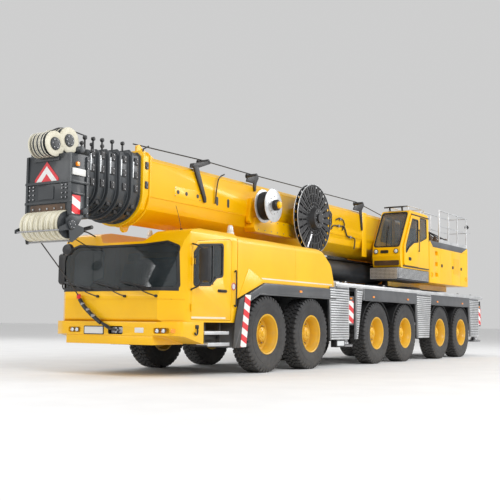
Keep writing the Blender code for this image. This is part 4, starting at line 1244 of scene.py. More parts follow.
@dataclass
class CarrierFrame:
    """Chassis, the yellow front bumper with its steps and lamps, the axles and the knuckles."""

    front: float = 5.935
    plan: tuple[Point, ...] = ((5.94, -1.33), (6.56, -1.33), (6.74, -1.02), (6.74, 1.02), (6.56, 1.33), (5.94, 1.33))
    lamps: tuple[float, ...] = (-0.8, -0.7, 1.1, 1.0)
    lamp_height: float = 0.745

    def build(self) -> None:
        """Makes each piece."""
        self.chassis()
        self.bumper()
        self.front_details()
        self.steps()
        for node in ("axles_front", "axles_rear"):
            dress_node(node, "carrier", plain_choice, (DARK,), 0.004)
        for number in range(1, 7):
            for side, _ in SIDES:
                dress_node(f"knuckle_{number}_{side}", f"knuckle_{number}_{side}", plain_choice, (DARK,), 0.004)

    def chassis(self) -> None:
        """The frame's own shape without the bumper, which is a piece of its own."""
        made = outline_of("chassis_frame")
        made.name = "chassis_rails"
        made.data.materials.append(DARK.make())
        mesh = bmesh.new()
        mesh.from_mesh(made.data)
        everything = [*mesh.verts, *mesh.edges, *mesh.faces]
        cut = bmesh.ops.bisect_plane(mesh, geom=everything, plane_co=(self.front, 0, 0), plane_no=(1, 0, 0),
                                     clear_outer=True)
        bmesh.ops.holes_fill(mesh, edges=[edge for edge in cut["geom_cut"] if isinstance(edge, bmesh.types.BMEdge)])
        bmesh.ops.recalc_face_normals(mesh, faces=mesh.faces)
        mesh.to_mesh(made.data)
        mesh.free()
        settle(made, "carrier", 0.005, ("chassis_frame",))

    def bumper(self) -> None:
        """The bumper's beam with lamp and coupling recesses and raised corners."""
        beam = slab(fillet(self.plan, (0, 0.16, 0.3, 0.3, 0.16, 0)), 0.52, 0.8847, Axis.Z, YELLOW, BLACK)
        tools = []
        for sign in (1, -1):
            low, high = beside(sign, 0.92, 1.6)
            tools.append(slab([(5.8, 0.4), (5.94, 0.53), (6.45, 0.655), (6.8, 0.68), (6.8, 0.4)], low, high, Axis.Y,
                              YELLOW))
        tools.append(slab(rounded((-0.88, 0.7), (-0.6, 0.79), 0.03), 6.7, 6.8, Axis.X, YELLOW))
        tools.append(slab(rounded((0.93, 0.7), (1.18, 0.79), 0.03), 6.62, 6.8, Axis.X, YELLOW))
        tools.append(slab(rounded((0.0, 0.68), (0.31, 0.81), 0.03), 6.66, 6.8, Axis.X, BLACK))
        groove = Form(YELLOW).prism(square((6.5, -1.4), (6.9, 1.4)), 0.655, 0.661, Axis.Z)
        inner = slab(inset(self.plan, 0.006), 0.5, 0.9, Axis.Z, YELLOW)
        tools.append(carve(groove.object("groove"), [inner]))
        settle(carve(beam, tools), "carrier", 0.007, (), 2)

    def front_details(self) -> None:
        """Plate, label, lamps and tow coupling on the bumper's face, and the hook at its corner."""
        form = Form(WHITE)
        form.prism(rounded((-0.51, 0.685), (-0.11, 0.795), 0.012), 6.741, 6.748, Axis.X)
        form.prism(rounded((0.56, 0.71), (0.74, 0.79), 0.01), 6.741, 6.744, Axis.X)
        form.use(BLACK)
        form.prism(rounded((-0.53, 0.67), (-0.09, 0.81), 0.02), 6.735, 6.743, Axis.X)
        form.use(STEEL)
        form.prism(rounded((0.03, 0.7), (0.28, 0.79), 0.02), 6.65, 6.7, Axis.X)
        form.disc((6.715, 0.155, 0.745), 0.026, 0.1, Axis.Z, 20, 0.005)
        form.tube([(6.69, 0.1, 0.745), (6.735, 0.12, 0.745), (6.738, 0.19, 0.745), (6.69, 0.21, 0.745)], 0.012)
        form.piece("bumper_plate", "carrier", 0.002)
        lamp = Form(BLACK)
        for y in self.lamps:
            x = 6.722 if abs(y) < 1.03 else 6.69
            lamp.use(STEEL).turned([(-0.03, 0.0), (-0.03, 0.03), (0.008, 0.038), (0.012, 0.036), (0.004, 0.031),
                                    (0.0, 0.0)], (x, y, self.lamp_height), Axis.X, 24)
            lamp.use(CLEAR_LENS).turned([(0.0, 0.0), (0.002, 0.03), (0.01, 0.026), (0.014, 0.012), (0.015, 0.0)],
                                        (x, y, self.lamp_height), Axis.X, 24)
        lamp.use(AMBER).prism(rounded((6.6, 0.715), (6.68, 0.775), 0.015), 1.235, 1.262, Axis.Y)
        lamp.piece("front_lamps", "carrier", slot="lamp_plastic")
        hook = Form(BLACK).tube([(6.13, 1.345, 0.8), (6.13, 1.352, 0.74), (6.15, 1.352, 0.69), (6.19, 1.352, 0.69),
                                 (6.205, 1.352, 0.72)], 0.013)
        hook.prism(rounded((6.09, 0.78), (6.17, 0.84), 0.01), 1.33, 1.345, Axis.Y)
        hook.piece("corner_hook", "carrier")

    def steps(self) -> None:
        """Two silver steps below each door with punched treads."""
        for side, sign in SIDES:
            form = Form(SILVER)
            for low, high, z in ((5.22, 5.93, 0.735), (5.2, 5.83, 0.545)):
                near, far = beside(sign, 1.1, 1.335)
                form.prism(rounded((low, near), (high, far), 0.02), z - 0.03, z, Axis.Z)
                edge = beside(sign, 1.325, 1.34)
                form.prism(rounded((low, z - 0.05), (high, z + 0.004), 0.01), *edge, Axis.Y)
                tooth = Form(SILVER).disc((low + 0.05, sign * 1.14, z + 0.003), 0.012, 0.01, Axis.Z, 8, 0.002)
                teeth = GRID.made("teeth", tooth, SILVER, 14, 4, ((high - low - 0.1) / 13, 0, 0), (0, sign * 0.05, 0))
                teeth.name = f"step_teeth_{side}_{int(z * 1000)}"
                settle(teeth, "carrier", 0.0, ())
            form.use(DARK)
            for x in (5.3, 5.74):
                form.prism(square((x, sign * 1.14), (x + 0.03, sign * 1.22)), 0.52, 0.9, Axis.Z)
            near, far = beside(sign, 0.44, 1.16)
            form.box((5.25, near, 0.6), (5.8, far, 0.66))
            form.piece(f"cab_steps_{side}", "carrier", 0.003, slot="deck_aluminium")


@dataclass
class CarrierCab:
    """Front cab with its screens, doors, wipers, mirrors and inside."""

    side: tuple[Point, ...] = ((4.98, 0.885), (6.72, 0.885), (6.72, 1.3), (6.44, 2.18), (6.3, 2.36), (5.95, 2.42),
                               (4.98, 2.42))
    plan: tuple[Point, ...] = ((4.88, -1.33), (6.42, -1.33), (6.8, -0.9), (6.8, 0.9), (6.42, 1.33), (4.88, 1.33))
    cross: tuple[Point, ...] = ((-1.33, 0.8), (1.33, 0.8), (1.33, 2.425), (0.68, 2.425), (0.45, 2.2), (-0.45, 2.2),
                                (-0.68, 2.425), (-1.33, 2.425))
    screen: tuple[Point, ...] = ((-1.235, 1.42), (1.235, 1.42), (1.215, 2.08), (0.95, 2.17), (0.49, 2.135),
                                 (-0.49, 2.135), (-0.95, 2.17), (-1.215, 2.08))
    door: tuple[Point, ...] = ((5.15, 0.92), (6.3, 0.92), (6.3, 2.05), (6.14, 2.2), (5.21, 2.3), (5.15, 2.24))
    window: tuple[Point, ...] = ((5.42, 1.66), (5.6, 1.63), (5.78, 1.5), (6.22, 1.48), (6.22, 2.0), (6.08, 2.13),
                                 (5.42, 2.19))

    def build(self) -> None:
        """Makes the shell, its glass, its doors and what is on and in them."""
        self.shell()
        self.screens()
        for side, sign in SIDES:
            self.door_leaf(side, sign)
            self.mirror(side, sign)
        self.wipers()
        self.front_details()
        self.inside()

    def solid(self, amount: float) -> bpy.types.Object:
        """The cab's body with rounded corners, each wall moved in by an amount.

        Args:
            amount: How far each wall moves in.

        Returns:
            The body.
        """
        body = slab(fillet(inset(self.side, amount), (0.04, 0.07, 0.1, 0.12, 0.12, 0.15, 0.05)), -1.5, 1.5, Axis.Y,
                    YELLOW)
        plan = slab(fillet(inset(self.plan, amount), (0, 0.3, 0.3, 0.3, 0.3, 0), 7), 0.7, 2.6, Axis.Z, YELLOW)
        cross = slab(fillet(inset(self.cross, amount), (0, 0, 0.14, 0.06, 0.1, 0.1, 0.06, 0.14)), 4.8, 7.0, Axis.X,
                     YELLOW)
        return carve(body, [plan, cross], "INTERSECT")

    def layer(self, outer: float, inner: float) -> bpy.types.Object:
        """A shell of the cab between two depths."""
        return carve(self.solid(outer), [self.solid(inner)])

    def pane(self, outer: float, inner: float, opening: bpy.types.Object, finish: Finish, name: str
             ) -> bpy.types.Object:
        """The part of a thin layer inside an opening, in one finish."""
        made = carve(self.layer(outer, inner), [opening], "INTERSECT")
        made.name = name
        return refinished(made, finish)

    def front_opening(self, grow: float) -> bpy.types.Object:
        """The windscreen's opening, grown by an amount."""
        return slab(fillet(inset(self.screen, -grow), 0.07), 6.0, 7.0, Axis.X, RUBBER)

    def shell(self) -> None:
        """The painted shell with its openings and pressed lines."""
        body = self.layer(0.0, 0.055)
        tools = [self.front_opening(0.0)]
        for _, sign in SIDES:
            near, far = beside(sign, 1.2, 1.5)
            tools.append(slab(fillet(self.door, (0.03, 0.03, 0.05, 0.05, 0.05, 0.03)), near, far, Axis.Y, YELLOW))
        tools.append(slab(rounded((-0.95, 1.5), (0.95, 2.05), 0.06), 4.9, 5.2, Axis.X, YELLOW))
        for low, high in ((1.238, 1.246), (0.905, 0.911)):
            band = slab(square((6.42, -1.4), (7.0, 1.4)), low, high, Axis.Z, YELLOW)
            tools.append(carve(band, [self.solid(0.007)]))
        settle(carve(body, tools), "carrier", 0.0, ("carrier_cab",), smooth=30.0)

    def screens(self) -> None:
        """Windscreen with its rubber seal and the black lower edge, and the rear glass."""
        glass = self.pane(0.012, 0.02, self.front_opening(0.001), GLASS, "windscreen")
        settle(glass, "carrier", 0.0, (), smooth=40.0)
        seal = self.pane(-0.004, 0.022, carve(self.front_opening(0.022), [self.front_opening(-0.012)]), RUBBER,
                         "windscreen_seal")
        settle(seal, "carrier", 0.0, ())
        lower = slab(square((-1.24, 1.375), (1.24, 1.43)), 6.0, 7.0, Axis.X, RUBBER)
        settle(self.pane(-0.003, 0.01, lower, RUBBER, "windscreen_sill"), "carrier", 0.0, ())
        back = Form(GLASS).prism(rounded((-0.96, 1.49), (0.96, 2.06), 0.06), 5.0, 5.008, Axis.X)
        back.piece("cab_rear_glass", "carrier")

    def door_leaf(self, side: str, sign: int) -> None:
        """One door of the shell's own shape with its window, seal, handle, hinges and strip.

        Args:
            side: "left" or "right".
            sign: 1 on the left, -1 on the right.
        """
        node = f"carrier_door_{side}"
        near, far = beside(sign, 1.2, 1.5)
        leaf = fillet(inset(self.door, 0.006), (0.03, 0.03, 0.05, 0.05, 0.05, 0.03))
        window = fillet(self.window, 0.05)
        panel = carve(self.layer(0.0, 0.05), [slab(leaf, near, far, Axis.Y, YELLOW)], "INTERSECT")
        panel = carve(panel, [slab(window, near, far, Axis.Y, YELLOW)])
        panel.name = f"door_panel_{side}"
        settle(panel, node, 0.004, (node,), smooth=30.0)
        seal = carve(slab(fillet(inset(self.window, -0.022), 0.06), *beside(sign, 1.305, 1.336), Axis.Y, RUBBER),
                     [slab(fillet(inset(self.window, 0.014), 0.05), near, far, Axis.Y, RUBBER)])
        seal.name = f"door_seal_{side}"
        settle(seal, node, 0.002, ())
        glass = Form(GLASS).prism(window, *beside(sign, 1.314, 1.32), Axis.Y)
        glass.piece(f"door_glass_{side}", node)
        form = Form(BLACK)
        form.prism(rounded((5.29, 1.385), (5.56, 1.435), 0.02), *beside(sign, 1.328, 1.334), Axis.Y)
        form.tube([(5.32, sign * 1.334, 1.41), (5.34, sign * 1.362, 1.412), (5.5, sign * 1.362, 1.412),
                   (5.53, sign * 1.334, 1.41)], 0.012, 8, 0.7)
        form.prism(square((5.69, 1.5), (5.715, 2.16)), *beside(sign, 1.318, 1.333), Axis.Y)
        form.use(REFLECTIVE).prism(rounded((5.32, 0.945), (6.28, 0.975), 0.004), *beside(sign, 1.329, 1.3315), Axis.Y)
        form.use(YELLOW)
        for z in (1.12, 1.86):
            form.disc((6.3, sign * 1.3443, z), 0.0145, 0.12, Axis.Z, 14, 0.003)
            form.prism(rounded((6.2, z - 0.05), (6.29, z + 0.05), 0.01), *beside(sign, 1.329, 1.336), Axis.Y)
        form.piece(f"door_fittings_{side}", node, slot="reel_black")

    def mirror(self, side: str, sign: int) -> None:
        """Twin mirror in a black housing on tube arms, carried by the door.

        Args:
            side: "left" or "right".
            sign: 1 on the left, -1 on the right.
        """
        node = f"carrier_door_{side}"
        y = sign * 1.54
        form = Form(BLACK)
        rows = []
        for x, width, low, high in ((6.275, 0.05, 1.6, 2.0), (6.265, 0.085, 1.545, 2.055), (6.23, 0.098, 1.525, 2.075),
                                    (6.195, 0.1, 1.52, 2.08)):
            outline = rounded((y - width, low), (y + width, high), min(0.04, width * 0.5))
            rows.append([(x, first, second) for first, second in outline])
        form.loft(rows)
        form.tube([(6.26, sign * 1.325, 2.14), (6.3, sign * 1.36, 2.13), (6.3, sign * 1.46, 2.1),
                   (6.255, sign * 1.52, 2.045)], 0.014)
        form.tube([(6.28, sign * 1.325, 1.4), (6.32, sign * 1.36, 1.41), (6.3, sign * 1.47, 1.46),
                   (6.255, sign * 1.52, 1.55)], 0.014)
        form.use(CHROME)
        for low, high in ((1.535, 1.72), (1.74, 2.065)):
            form.prism(rounded((y - 0.085, low), (y + 0.085, high), 0.025), 6.1925, 6.196, Axis.X)
        form.piece(f"mirror_{side}", node, slot="reel_black")

    def wipers(self) -> None:
        """Three parked wipers on bosses below the screen."""
        form = Form(BLACK)
        for y, reach in ((-0.25, -0.62), (0.33, -0.55), (0.97, -0.6)):
            form.disc((6.735, y, 1.29), 0.022, 0.05, Axis.X, 14, 0.005)
            form.tube([(6.755, y, 1.29), (6.74, y + reach * 0.4, 1.36), (6.705, y + reach * 0.85, 1.475)], 0.009)
            form.rod([(6.725, y + reach * 0.25, 1.415), (6.695, y + reach * 1.3, 1.53)], 0.01, 6, 1.6)
        form.piece("wipers", "carrier")

    def front_details(self) -> None:
        """Blank round sign, ramp mirror, grab handles and the antenna."""
        form = Form(WHITE)
        form.disc((5.09, 1.333, 1.5), 0.065, 0.008, Axis.Y, 28, 0.002)
        form.use(RED).turned([(0.0, 0.052), (0.0, 0.064), (0.006, 0.064), (0.006, 0.052)], (5.09, 1.336, 1.5), Axis.Y,
                             28)
        form.piece("blank_round_sign", "carrier", slot="deck_aluminium")
        form = Form(BLACK)
        form.tube([(6.34, -0.7, 2.33), (6.55, -0.76, 2.4), (6.78, -0.8, 2.32), (6.86, -0.82, 2.18)], 0.012)
        form.tube([(6.46, -0.7, 2.12), (6.62, -0.75, 2.2), (6.78, -0.8, 2.28)], 0.009)
        rows = []
        for x, size in ((6.9, 0.03), (6.885, 0.1), (6.85, 0.12), (6.835, 0.12)):
            rows.append([(x, -0.83 + size * math.cos(a), 2.07 + size * 0.85 * math.sin(a))
                         for a in [2 * math.pi * i / 20 for i in range(20)]])
        form.loft(rows)
        form.piece("ramp_mirror", "carrier")
        form = Form(BLACK)
        form.tube([(5.06, 1.33, 1.75), (5.06, 1.37, 1.73), (5.06, 1.37, 1.2), (5.06, 1.33, 1.18)], 0.012)
        form.tube([(5.06, -1.33, 1.75), (5.06, -1.37, 1.73), (5.06, -1.37, 1.2), (5.06, -1.33, 1.18)], 0.012)
        form.piece("cab_grab_rails", "carrier")
        form = Form(BLACK)
        form.tube([(6.15, 1.0, 2.38), (6.17, 1.0, 2.45), (6.22, 0.99, 2.62), (6.28, 0.98, 2.77)], 0.004, 6)
        form.disc((6.15, 1.0, 2.392), 0.018, 0.03, Axis.Z, 14, 0.004)
        form.piece("cab_antenna", "carrier")

    def inside(self) -> None:
        """Floor, dashboard, steering wheel, seats and trim."""
        form = Form(CABIN)
        form.box((5.05, -1.22, 0.946), (6.44, 1.22, 0.985))
        form.prism(fillet([(6.12, 0.98), (6.52, 0.98), (6.58, 1.26), (6.52, 1.36), (6.3, 1.4), (6.16, 1.3)],
                          (0, 0, 0.05, 0.06, 0.05, 0.04)), -1.15, 1.15, Axis.Y)
        form.prism(fillet([(6.1, 1.34), (6.42, 1.36), (6.4, 1.44), (6.14, 1.44)], 0.03), 0.5, 1.06, Axis.Y)
        hub = Vector((6.02, 0.78, 1.37))
        form.use(BLACK).rod([(6.2, 0.78, 1.22), hub], 0.03, 12)
        tilt = Matrix.Rotation(math.radians(-50), 3, "Y")
        hoop = [hub + tilt @ Vector((0.215 * math.cos(a), 0.215 * math.sin(a), 0.0))
                for a in [2 * math.pi * i / 28 for i in range(28)]]
        form.rod([*hoop, hoop[0]], 0.015, 8)
        for angle in (0.5, 2.6, 4.7):
            form.rod([hub, hub + tilt @ Vector((0.2 * math.cos(angle), 0.2 * math.sin(angle), 0.0))], 0.012)
        form.use(CABIN)
        for _, sign in SIDES:
            y = sign * 0.78
            form.prism(rounded((5.28, y - 0.17), (5.66, y + 0.17), 0.04), 0.98, 1.205, Axis.Z)
            form.prism(fillet([(5.3, 1.28), (5.17, 1.95), (5.09, 1.93), (5.13, 1.2)], 0.03), y - 0.22, y + 0.22, Axis.Y)
        form.piece("cab_trim", "carrier", 0.0, ("cab_interior",))
        for side, sign in SIDES:
            y = sign * 0.78
            seat = Form(SEAT_CLOTH).prism(rounded((5.26, y - 0.24), (5.74, y + 0.24), 0.07), 1.222, 1.335, Axis.Z)
            cushion(seat, f"seat_cushion_{side}", "carrier")
            rest = Form(SEAT_CLOTH).prism(fillet([(5.335, 1.37), (5.3, 1.4), (5.195, 1.93), (5.235, 1.95),
                                                  (5.39, 1.42)], 0.02), y - 0.22, y + 0.22, Axis.Y)
            cushion(rest, f"seat_back_{side}", "carrier")
            head = Form(SEAT_CLOTH).prism(fillet([(5.17, 1.99), (5.25, 2.0), (5.23, 2.13), (5.16, 2.12)], 0.02),
                                          y - 0.13, y + 0.13, Axis.Y)
            cushion(head, f"seat_headrest_{side}", "carrier")
            posts = Form(CHROME).rod([(5.19, y - 0.06, 1.9), (5.205, y - 0.06, 2.03)], 0.008)
            posts.rod([(5.19, y + 0.06, 1.9), (5.205, y + 0.06, 2.03)], 0.008)
            posts.piece(f"headrest_posts_{side}", "carrier")


@dataclass
class EngineHood:
    """Hood behind the cab with its pressed line, grilles, strip, beacon and exhaust."""

    side: tuple[Point, ...] = ((4.96, 1.3), (4.12, 1.6), (1.35, 1.6), (1.35, 1.74), (1.48, 2.08), (1.95, 2.39),
                               (4.96, 2.39))
    beacons: tuple[float, float] = (0.92, -0.92)

    def build(self) -> None:
        """Makes the hood and what it carries."""
        self.shell()
        self.grilles()
        self.details()
        dress_node("engine_block", "carrier", plain_choice, (DARK,), 0.01)

    def solid(self, amount: float) -> bpy.types.Object:
        """The hood's body, each wall moved in by an amount.

        Args:
            amount: How far each wall moves in.

        Returns:
            The body.
        """
        body = slab(fillet(inset(self.side, amount), (0, 0.05, 0.03, 0.06, 0.25, 0.35, 0.04), 6), -1.5, 1.5, Axis.Y,
                    YELLOW)
        half = 1.33 - amount
        cross = slab(rounded((-half, 1.0), (half, 2.39 - amount), (0, 0, 0.12, 0.12)), 1.0, 5.2, Axis.X, YELLOW)
        return carve(body, [cross], "INTERSECT")

    def shell(self) -> None:
        """The painted shell, open below, with a crease and panel gaps pressed in."""
        hollow = slab(inset(self.side, 0.05)[2:], -1.28, 1.28, Axis.Y, YELLOW)
        floor = Form(YELLOW).box((1.4, -1.28, 1.2), (4.91, 1.28, 1.72)).object("floor")
        tools = [hollow, floor]
        skin = self.solid(0.006)
        groove = Form(YELLOW)
        groove.prism(square((2.96, 1.5), (2.966, 2.5)), -1.5, 1.5, Axis.Y)
        tools.append(carve(groove.object("groove"), [skin]))
        shell = carve(self.solid(0.0), tools)
        settle(shell, "carrier", 0.0, ("engine_hood",), smooth=30.0)
        for side, sign in SIDES:
            form = Form(YELLOW)
            form.prism([(4.62, 1.84), (4.16, 1.655), (1.36, 1.655), (1.36, 1.605), (4.12, 1.605), (4.94, 1.315)],
                       *beside(sign, 1.326, 1.337), Axis.Y)
            form.use(REFLECTIVE).prism([(1.43, 1.667), (4.14, 1.667), (4.2, 1.695), (1.43, 1.695)],
                                       *beside(sign, 1.328, 1.333), Axis.Y)
            form.piece(f"hood_lower_edge_{side}", "carrier", 0.003)

    def grilles(self) -> None:
        """Slatted air outlets on the roof."""
        slat = Form(BLACK).box((4.02, -0.4, 2.388), (4.03, 0.4, 2.402), Matrix.Rotation(0.5, 4, "Y"))
        top = GRID.made("hood_grille", slat, BLACK, 24, step=(0.025, 0, 0))
        settle(top, "carrier", 0.0, ())
        form = Form(RUBBER).prism(rounded((3.97, -0.44), (4.66, 0.44), 0.03), 2.384, 2.392, Axis.Z)
        for sign in (1, -1):
            form.prism(rounded((2.2, sign * 0.62), (3.7, sign * 1.1), 0.05), 2.384, 2.394, Axis.Z)
        form.piece("hood_top_panels", "carrier", 0.002)
        for side, sign in SIDES:
            low, high = beside(sign, 0.64, 1.08)
            slat = Form(BLACK).box((2.24, low, 2.392), (2.255, high, 2.404), Matrix.Rotation(0.5, 4, "Y"))
            rows = GRID.made(f"hood_louvres_{side}", slat, BLACK, 40, step=(0.036, 0, 0))
            settle(rows, "carrier", 0.0, ())

    def details(self) -> None:
        """Beacons and exhaust stack."""
        form = Form(WHITE)
        for y in self.beacons:
            form.use(WHITE).turned([(0.0, 0.0), (0.0, 0.075), (0.1, 0.068), (0.115, 0.058), (0.12, 0.0)],
                                   (4.6, y, 2.39), Axis.Z, 28)
            form.use(CLEAR_LENS).turned([(0.118, 0.0), (0.118, 0.058), (0.19, 0.052), (0.225, 0.035), (0.235, 0.0)],
                                        (4.6, y, 2.39), Axis.Z, 28)
        form.piece("beacons", "carrier", 0.002, slot="lamp_plastic")
        form = Form(CHROME)
        form.tube([(1.8, 0.9, 2.2), (1.78, 0.9, 2.44), (1.66, 0.9, 2.62), (1.55, 0.9, 2.82)], 0.055, 20)
        form.use(STEEL).disc((1.79, 0.9, 2.37), 0.075, 0.03, Axis.Z, 24, 0.006)
        form.piece("exhaust_stack", "carrier", 0.002, slot="bright_steel")


@dataclass
class DeckAndFenders:
    """Deck, fenders with the striped boards, ribbed side panels and the blocks' stripes."""

    fender: tuple[Point, ...] = ((1.29, 1.597), (4.1, 1.597), (4.9, 1.27), (4.965, 0.9), (5.12, 0.46), (5.07, 0.46),
                                 (4.86, 0.9), (4.69, 1.24), (4.3, 1.4), (1.29, 1.4))
    panels: tuple = ((1.58, 0.682, 0.682, 1.52), (-3.11, -4.14, -3.98, -3.24), (-7.15, -8.008, -8.008, -7.28),
                     (0.308, -0.02, 0.25, 0.308))
    blocks: tuple = (("front_left", 0.525, 1), ("front_right", 0.175, -1), ("rear_left", -8.165, 1),
                     ("rear_right", -7.815, -1))

    def build(self) -> None:
        """Makes each piece."""
        dress_node("deck_and_fenders", "carrier", self.choose, (SILVER, FENDER_GREY), 0.005)
        for side, sign in SIDES:
            self.skirts(side, sign)
            self.board(side, sign)
            self.ribs(side, sign)
            self.mudguards(side, sign)
        self.deck_plate()
        self.tail()
        for name, x, sign in self.blocks:
            self.outrigger(name, x, sign)

    @staticmethod
    def choose(middle: Vector, normal: Vector) -> int:
        """Grey for the front fender, silver for the rest."""
        return 1 if middle.x > 1.32 and middle.z < 1.62 or 1.4 < middle.z < 1.65 and abs(normal.y) > 0.7 else 0

    def skirts(self, side: str, sign: int) -> None:
        """Edge mouldings of the fenders and the deck with orange markers.

        Args:
            side: "left" or "right".
            sign: 1 on the left, -1 on the right.
        """
        form = Form(FENDER_GREY)
        lip = [(1.3, 1.385), (4.29, 1.385), (4.68, 1.228), (4.85, 0.885), (5.06, 0.455), (5.085, 0.465), (4.875, 0.9),
               (4.7, 1.25), (4.3, 1.412), (1.3, 1.412)]
        form.prism(lip, *beside(sign, 1.345, 1.372), Axis.Y)
        for front, rear in ((-0.08, -3.13), (-4.13, -7.17)):
            form.prism(square((rear, 1.4), (front, 1.425)), *beside(sign, 1.345, 1.37), Axis.Y)
        form.use(SILVER)
        form.prism(square((-8.33, 1.665), (1.32, 1.745)), *beside(sign, 1.352, 1.368), Axis.Y)
        form.prism(square((-8.33, 1.695), (1.32, 1.715)), *beside(sign, 1.36, 1.374), Axis.Y)
        form.use(AMBER)
        for x in (2.75, -0.6, -2.6, -4.62, -6.6):
            form.prism(rounded((x, 1.475), (x + 0.09, 1.515), 0.01), *beside(sign, 1.358, 1.372), Axis.Y)
        form.piece(f"deck_edge_{side}", "carrier", 0.003, slot="deck_aluminium")

    def board(self, side: str, sign: int) -> None:
        """Red and white board ahead of the front wheel and the dark plate behind the cab.

        Args:
            side: "left" or "right".
            sign: 1 on the left, -1 on the right.
        """
        board = slab([(4.6, 1.37), (4.74, 0.47), (4.92, 0.47), (4.78, 1.37)], *beside(sign, 1.372, 1.378), Axis.Y,
                     SIDE_STRIPES)
        board.name = f"striped_board_{side}"
        settle(board, "carrier", 0.0, ())
        form = Form(DARK).prism([(4.8, 0.46), (5.13, 0.46), (5.08, 0.9), (4.955, 1.28), (4.66, 1.385)],
                                *beside(sign, 1.352, 1.371), Axis.Y)
        form.piece(f"front_board_back_{side}", "carrier", 0.003)

    def ribs(self, side: str, sign: int) -> None:
        """Ribbed aluminium over the panels between the axles, laid on a dark grey sheet that paints the shade in the
        gaps between the ribs.

        Args:
            side: "left" or "right".
            sign: 1 on the left, -1 on the right.
        """
        panels = self.panels if sign > 0 else ((1.58, 0.332, 0.332, 1.52), *self.panels[1:2],
                                               (-7.15, -7.658, -7.658, -7.28))
        form = Form(SILVER)
        for top_front, top_rear, low_rear, low_front in panels:
            # A dark grey sheet behind the ribs: painted shade in the gaps between them.
            form.use(FENDER_GREY).prism([(low_rear + 0.02, 0.57), (low_front - 0.02, 0.57), (top_front - 0.02, 1.645),
                                         (top_rear + 0.02, 1.645)], *beside(sign, 1.345, 1.3525), Axis.Y)
            form.use(SILVER)
            for index in range(21):
                z = 0.585 + index * 0.05
                share = (z - 0.56) / 1.1
                front = low_front + (top_front - low_front) * share - 0.012
                rear = low_rear + (top_rear - low_rear) * share + 0.012
                form.prism(square((rear, z - 0.016), (front, z + 0.016)), *beside(sign, 1.351, 1.366), Axis.Y)
        form.piece(f"side_panel_ribs_{side}", "carrier", 0.004, segments=2)
        form = Form(BLACK).prism(rounded((0.82, 0.4), (1.22, 0.56), 0.02), *beside(sign, 1.2, 1.33), Axis.Y)
        form.use(CLEAR_LENS).prism(rounded((0.86, 0.43), (1.18, 0.53), 0.02), *beside(sign, 1.328, 1.336), Axis.Y)
        form.piece(f"work_light_box_{side}", "carrier", 0.004, slot="reel_black")

    def mudguards(self, side: str, sign: int) -> None:
        """Curved black guards over each pair of wheels.

        Args:
            side: "left" or "right".
            sign: 1 on the left, -1 on the right.
        """
        form = Form(BLACK)
        for x in AXLES[2:]:
            outer = [(x + 0.8 * math.cos(a), WHEEL_HEIGHT + 0.76 * math.sin(a)) for a in
                     [math.radians(20 + 140 * i / 18) for i in range(19)]]
            inner = [(x + 0.785 * math.cos(a), WHEEL_HEIGHT + 0.745 * math.sin(a))
                     for a in [math.radians(160 - 140 * i / 18) for i in range(19)]]
            keep = [(u, min(v, 1.405)) for u, v in outer] + [(u, min(v, 1.39)) for u, v in inner]
            form.prism(keep, *beside(sign, 0.97, 1.335), Axis.Y)
        form.piece(f"mudguards_{side}", "carrier")

    def deck_plate(self) -> None:
        """Raised tread pattern, hatches, rails and boxes on the deck."""
        bead = Form(SILVER).prism([(-8.2, -1.3), (-8.17, -1.3), (-8.155, -1.285), (-8.185, -1.285)], 1.738, 1.744,
                                  Axis.Z)
        rows = GRID.made("deck_tread", bead, SILVER, 112, 31, (0.085, 0, 0), (0, 0.085, 0))
        mesh = bmesh.new()
        mesh.from_mesh(rows.data)
        away = [vert for vert in mesh.verts if (vert.co.x + 4.2) ** 2 + vert.co.y ** 2 < 1.0]
        bmesh.ops.delete(mesh, geom=away, context="VERTS")
        mesh.to_mesh(rows.data)
        mesh.free()
        settle(rows, "carrier", 0.0, ())
        form = Form(DARK)
        form.prism(rounded((-1.75, -0.62), (1.0, 0.62), 0.06), 1.74, 1.785, Axis.Z)
        form.use(FENDER_GREY)
        form.prism(rounded((-0.9, -1.24), (0.9, -0.78), 0.03), 1.742, 1.9, Axis.Z)
        form.prism(rounded((-7.9, -0.4), (-6.2, 0.4), 0.03), 1.742, 1.8, Axis.Z)
        form.use(STEEL)
        for x in (-7.6, -6.5, -1.4, 0.6):
            for y in (-1.26, 1.26):
                form.tube([(x, y, 1.74), (x, y, 1.77), (x + 0.05, y, 1.785), (x + 0.1, y, 1.77), (x + 0.1, y, 1.74)],
                          0.011)
        form.piece("deck_fittings", "carrier", 0.006, slot="dark_steel")

    def tail(self) -> None:
        """Rear lamps, underrun bar, blank plate and striped boards at the back."""
        form = Form(DARK)
        form.rod([(-8.3, -1.25, 0.8), (-8.3, 1.25, 0.8)], 0.05, 20)
        for y in (-0.7, 0.7):
            form.box((-8.34, y - 0.03, 0.78), (-8.24, y + 0.03, 1.4))
        form.box((-8.345, -1.3, 1.35), (-8.27, 1.3, 1.6))
        for y in (-0.95, 0.95):
            form.use(BLACK).prism(rounded((y - 0.22, 1.39), (y + 0.22, 1.53), 0.02), -8.37, -8.34, Axis.X)
            form.use(RED).prism(rounded((y - 0.2, 1.41), (y - 0.02, 1.51), 0.02), -8.378, -8.365, Axis.X)
            form.use(AMBER).prism(rounded((y + 0.02, 1.41), (y + 0.2, 1.51), 0.02), -8.378, -8.365, Axis.X)
        form.use(WHITE).prism(rounded((-0.26, 1.4), (0.26, 1.52), 0.01), -8.353, -8.344, Axis.X)
        form.piece("tail_bar", "carrier", 0.004)
        boards = Form(ACROSS_STRIPES)
        for y in (-1.15, 1.15):
            boards.prism(square((y - 0.17, 0.98), (y + 0.17, 1.34)), -8.35, -8.342, Axis.X)
        boards.piece("tail_boards", "carrier")

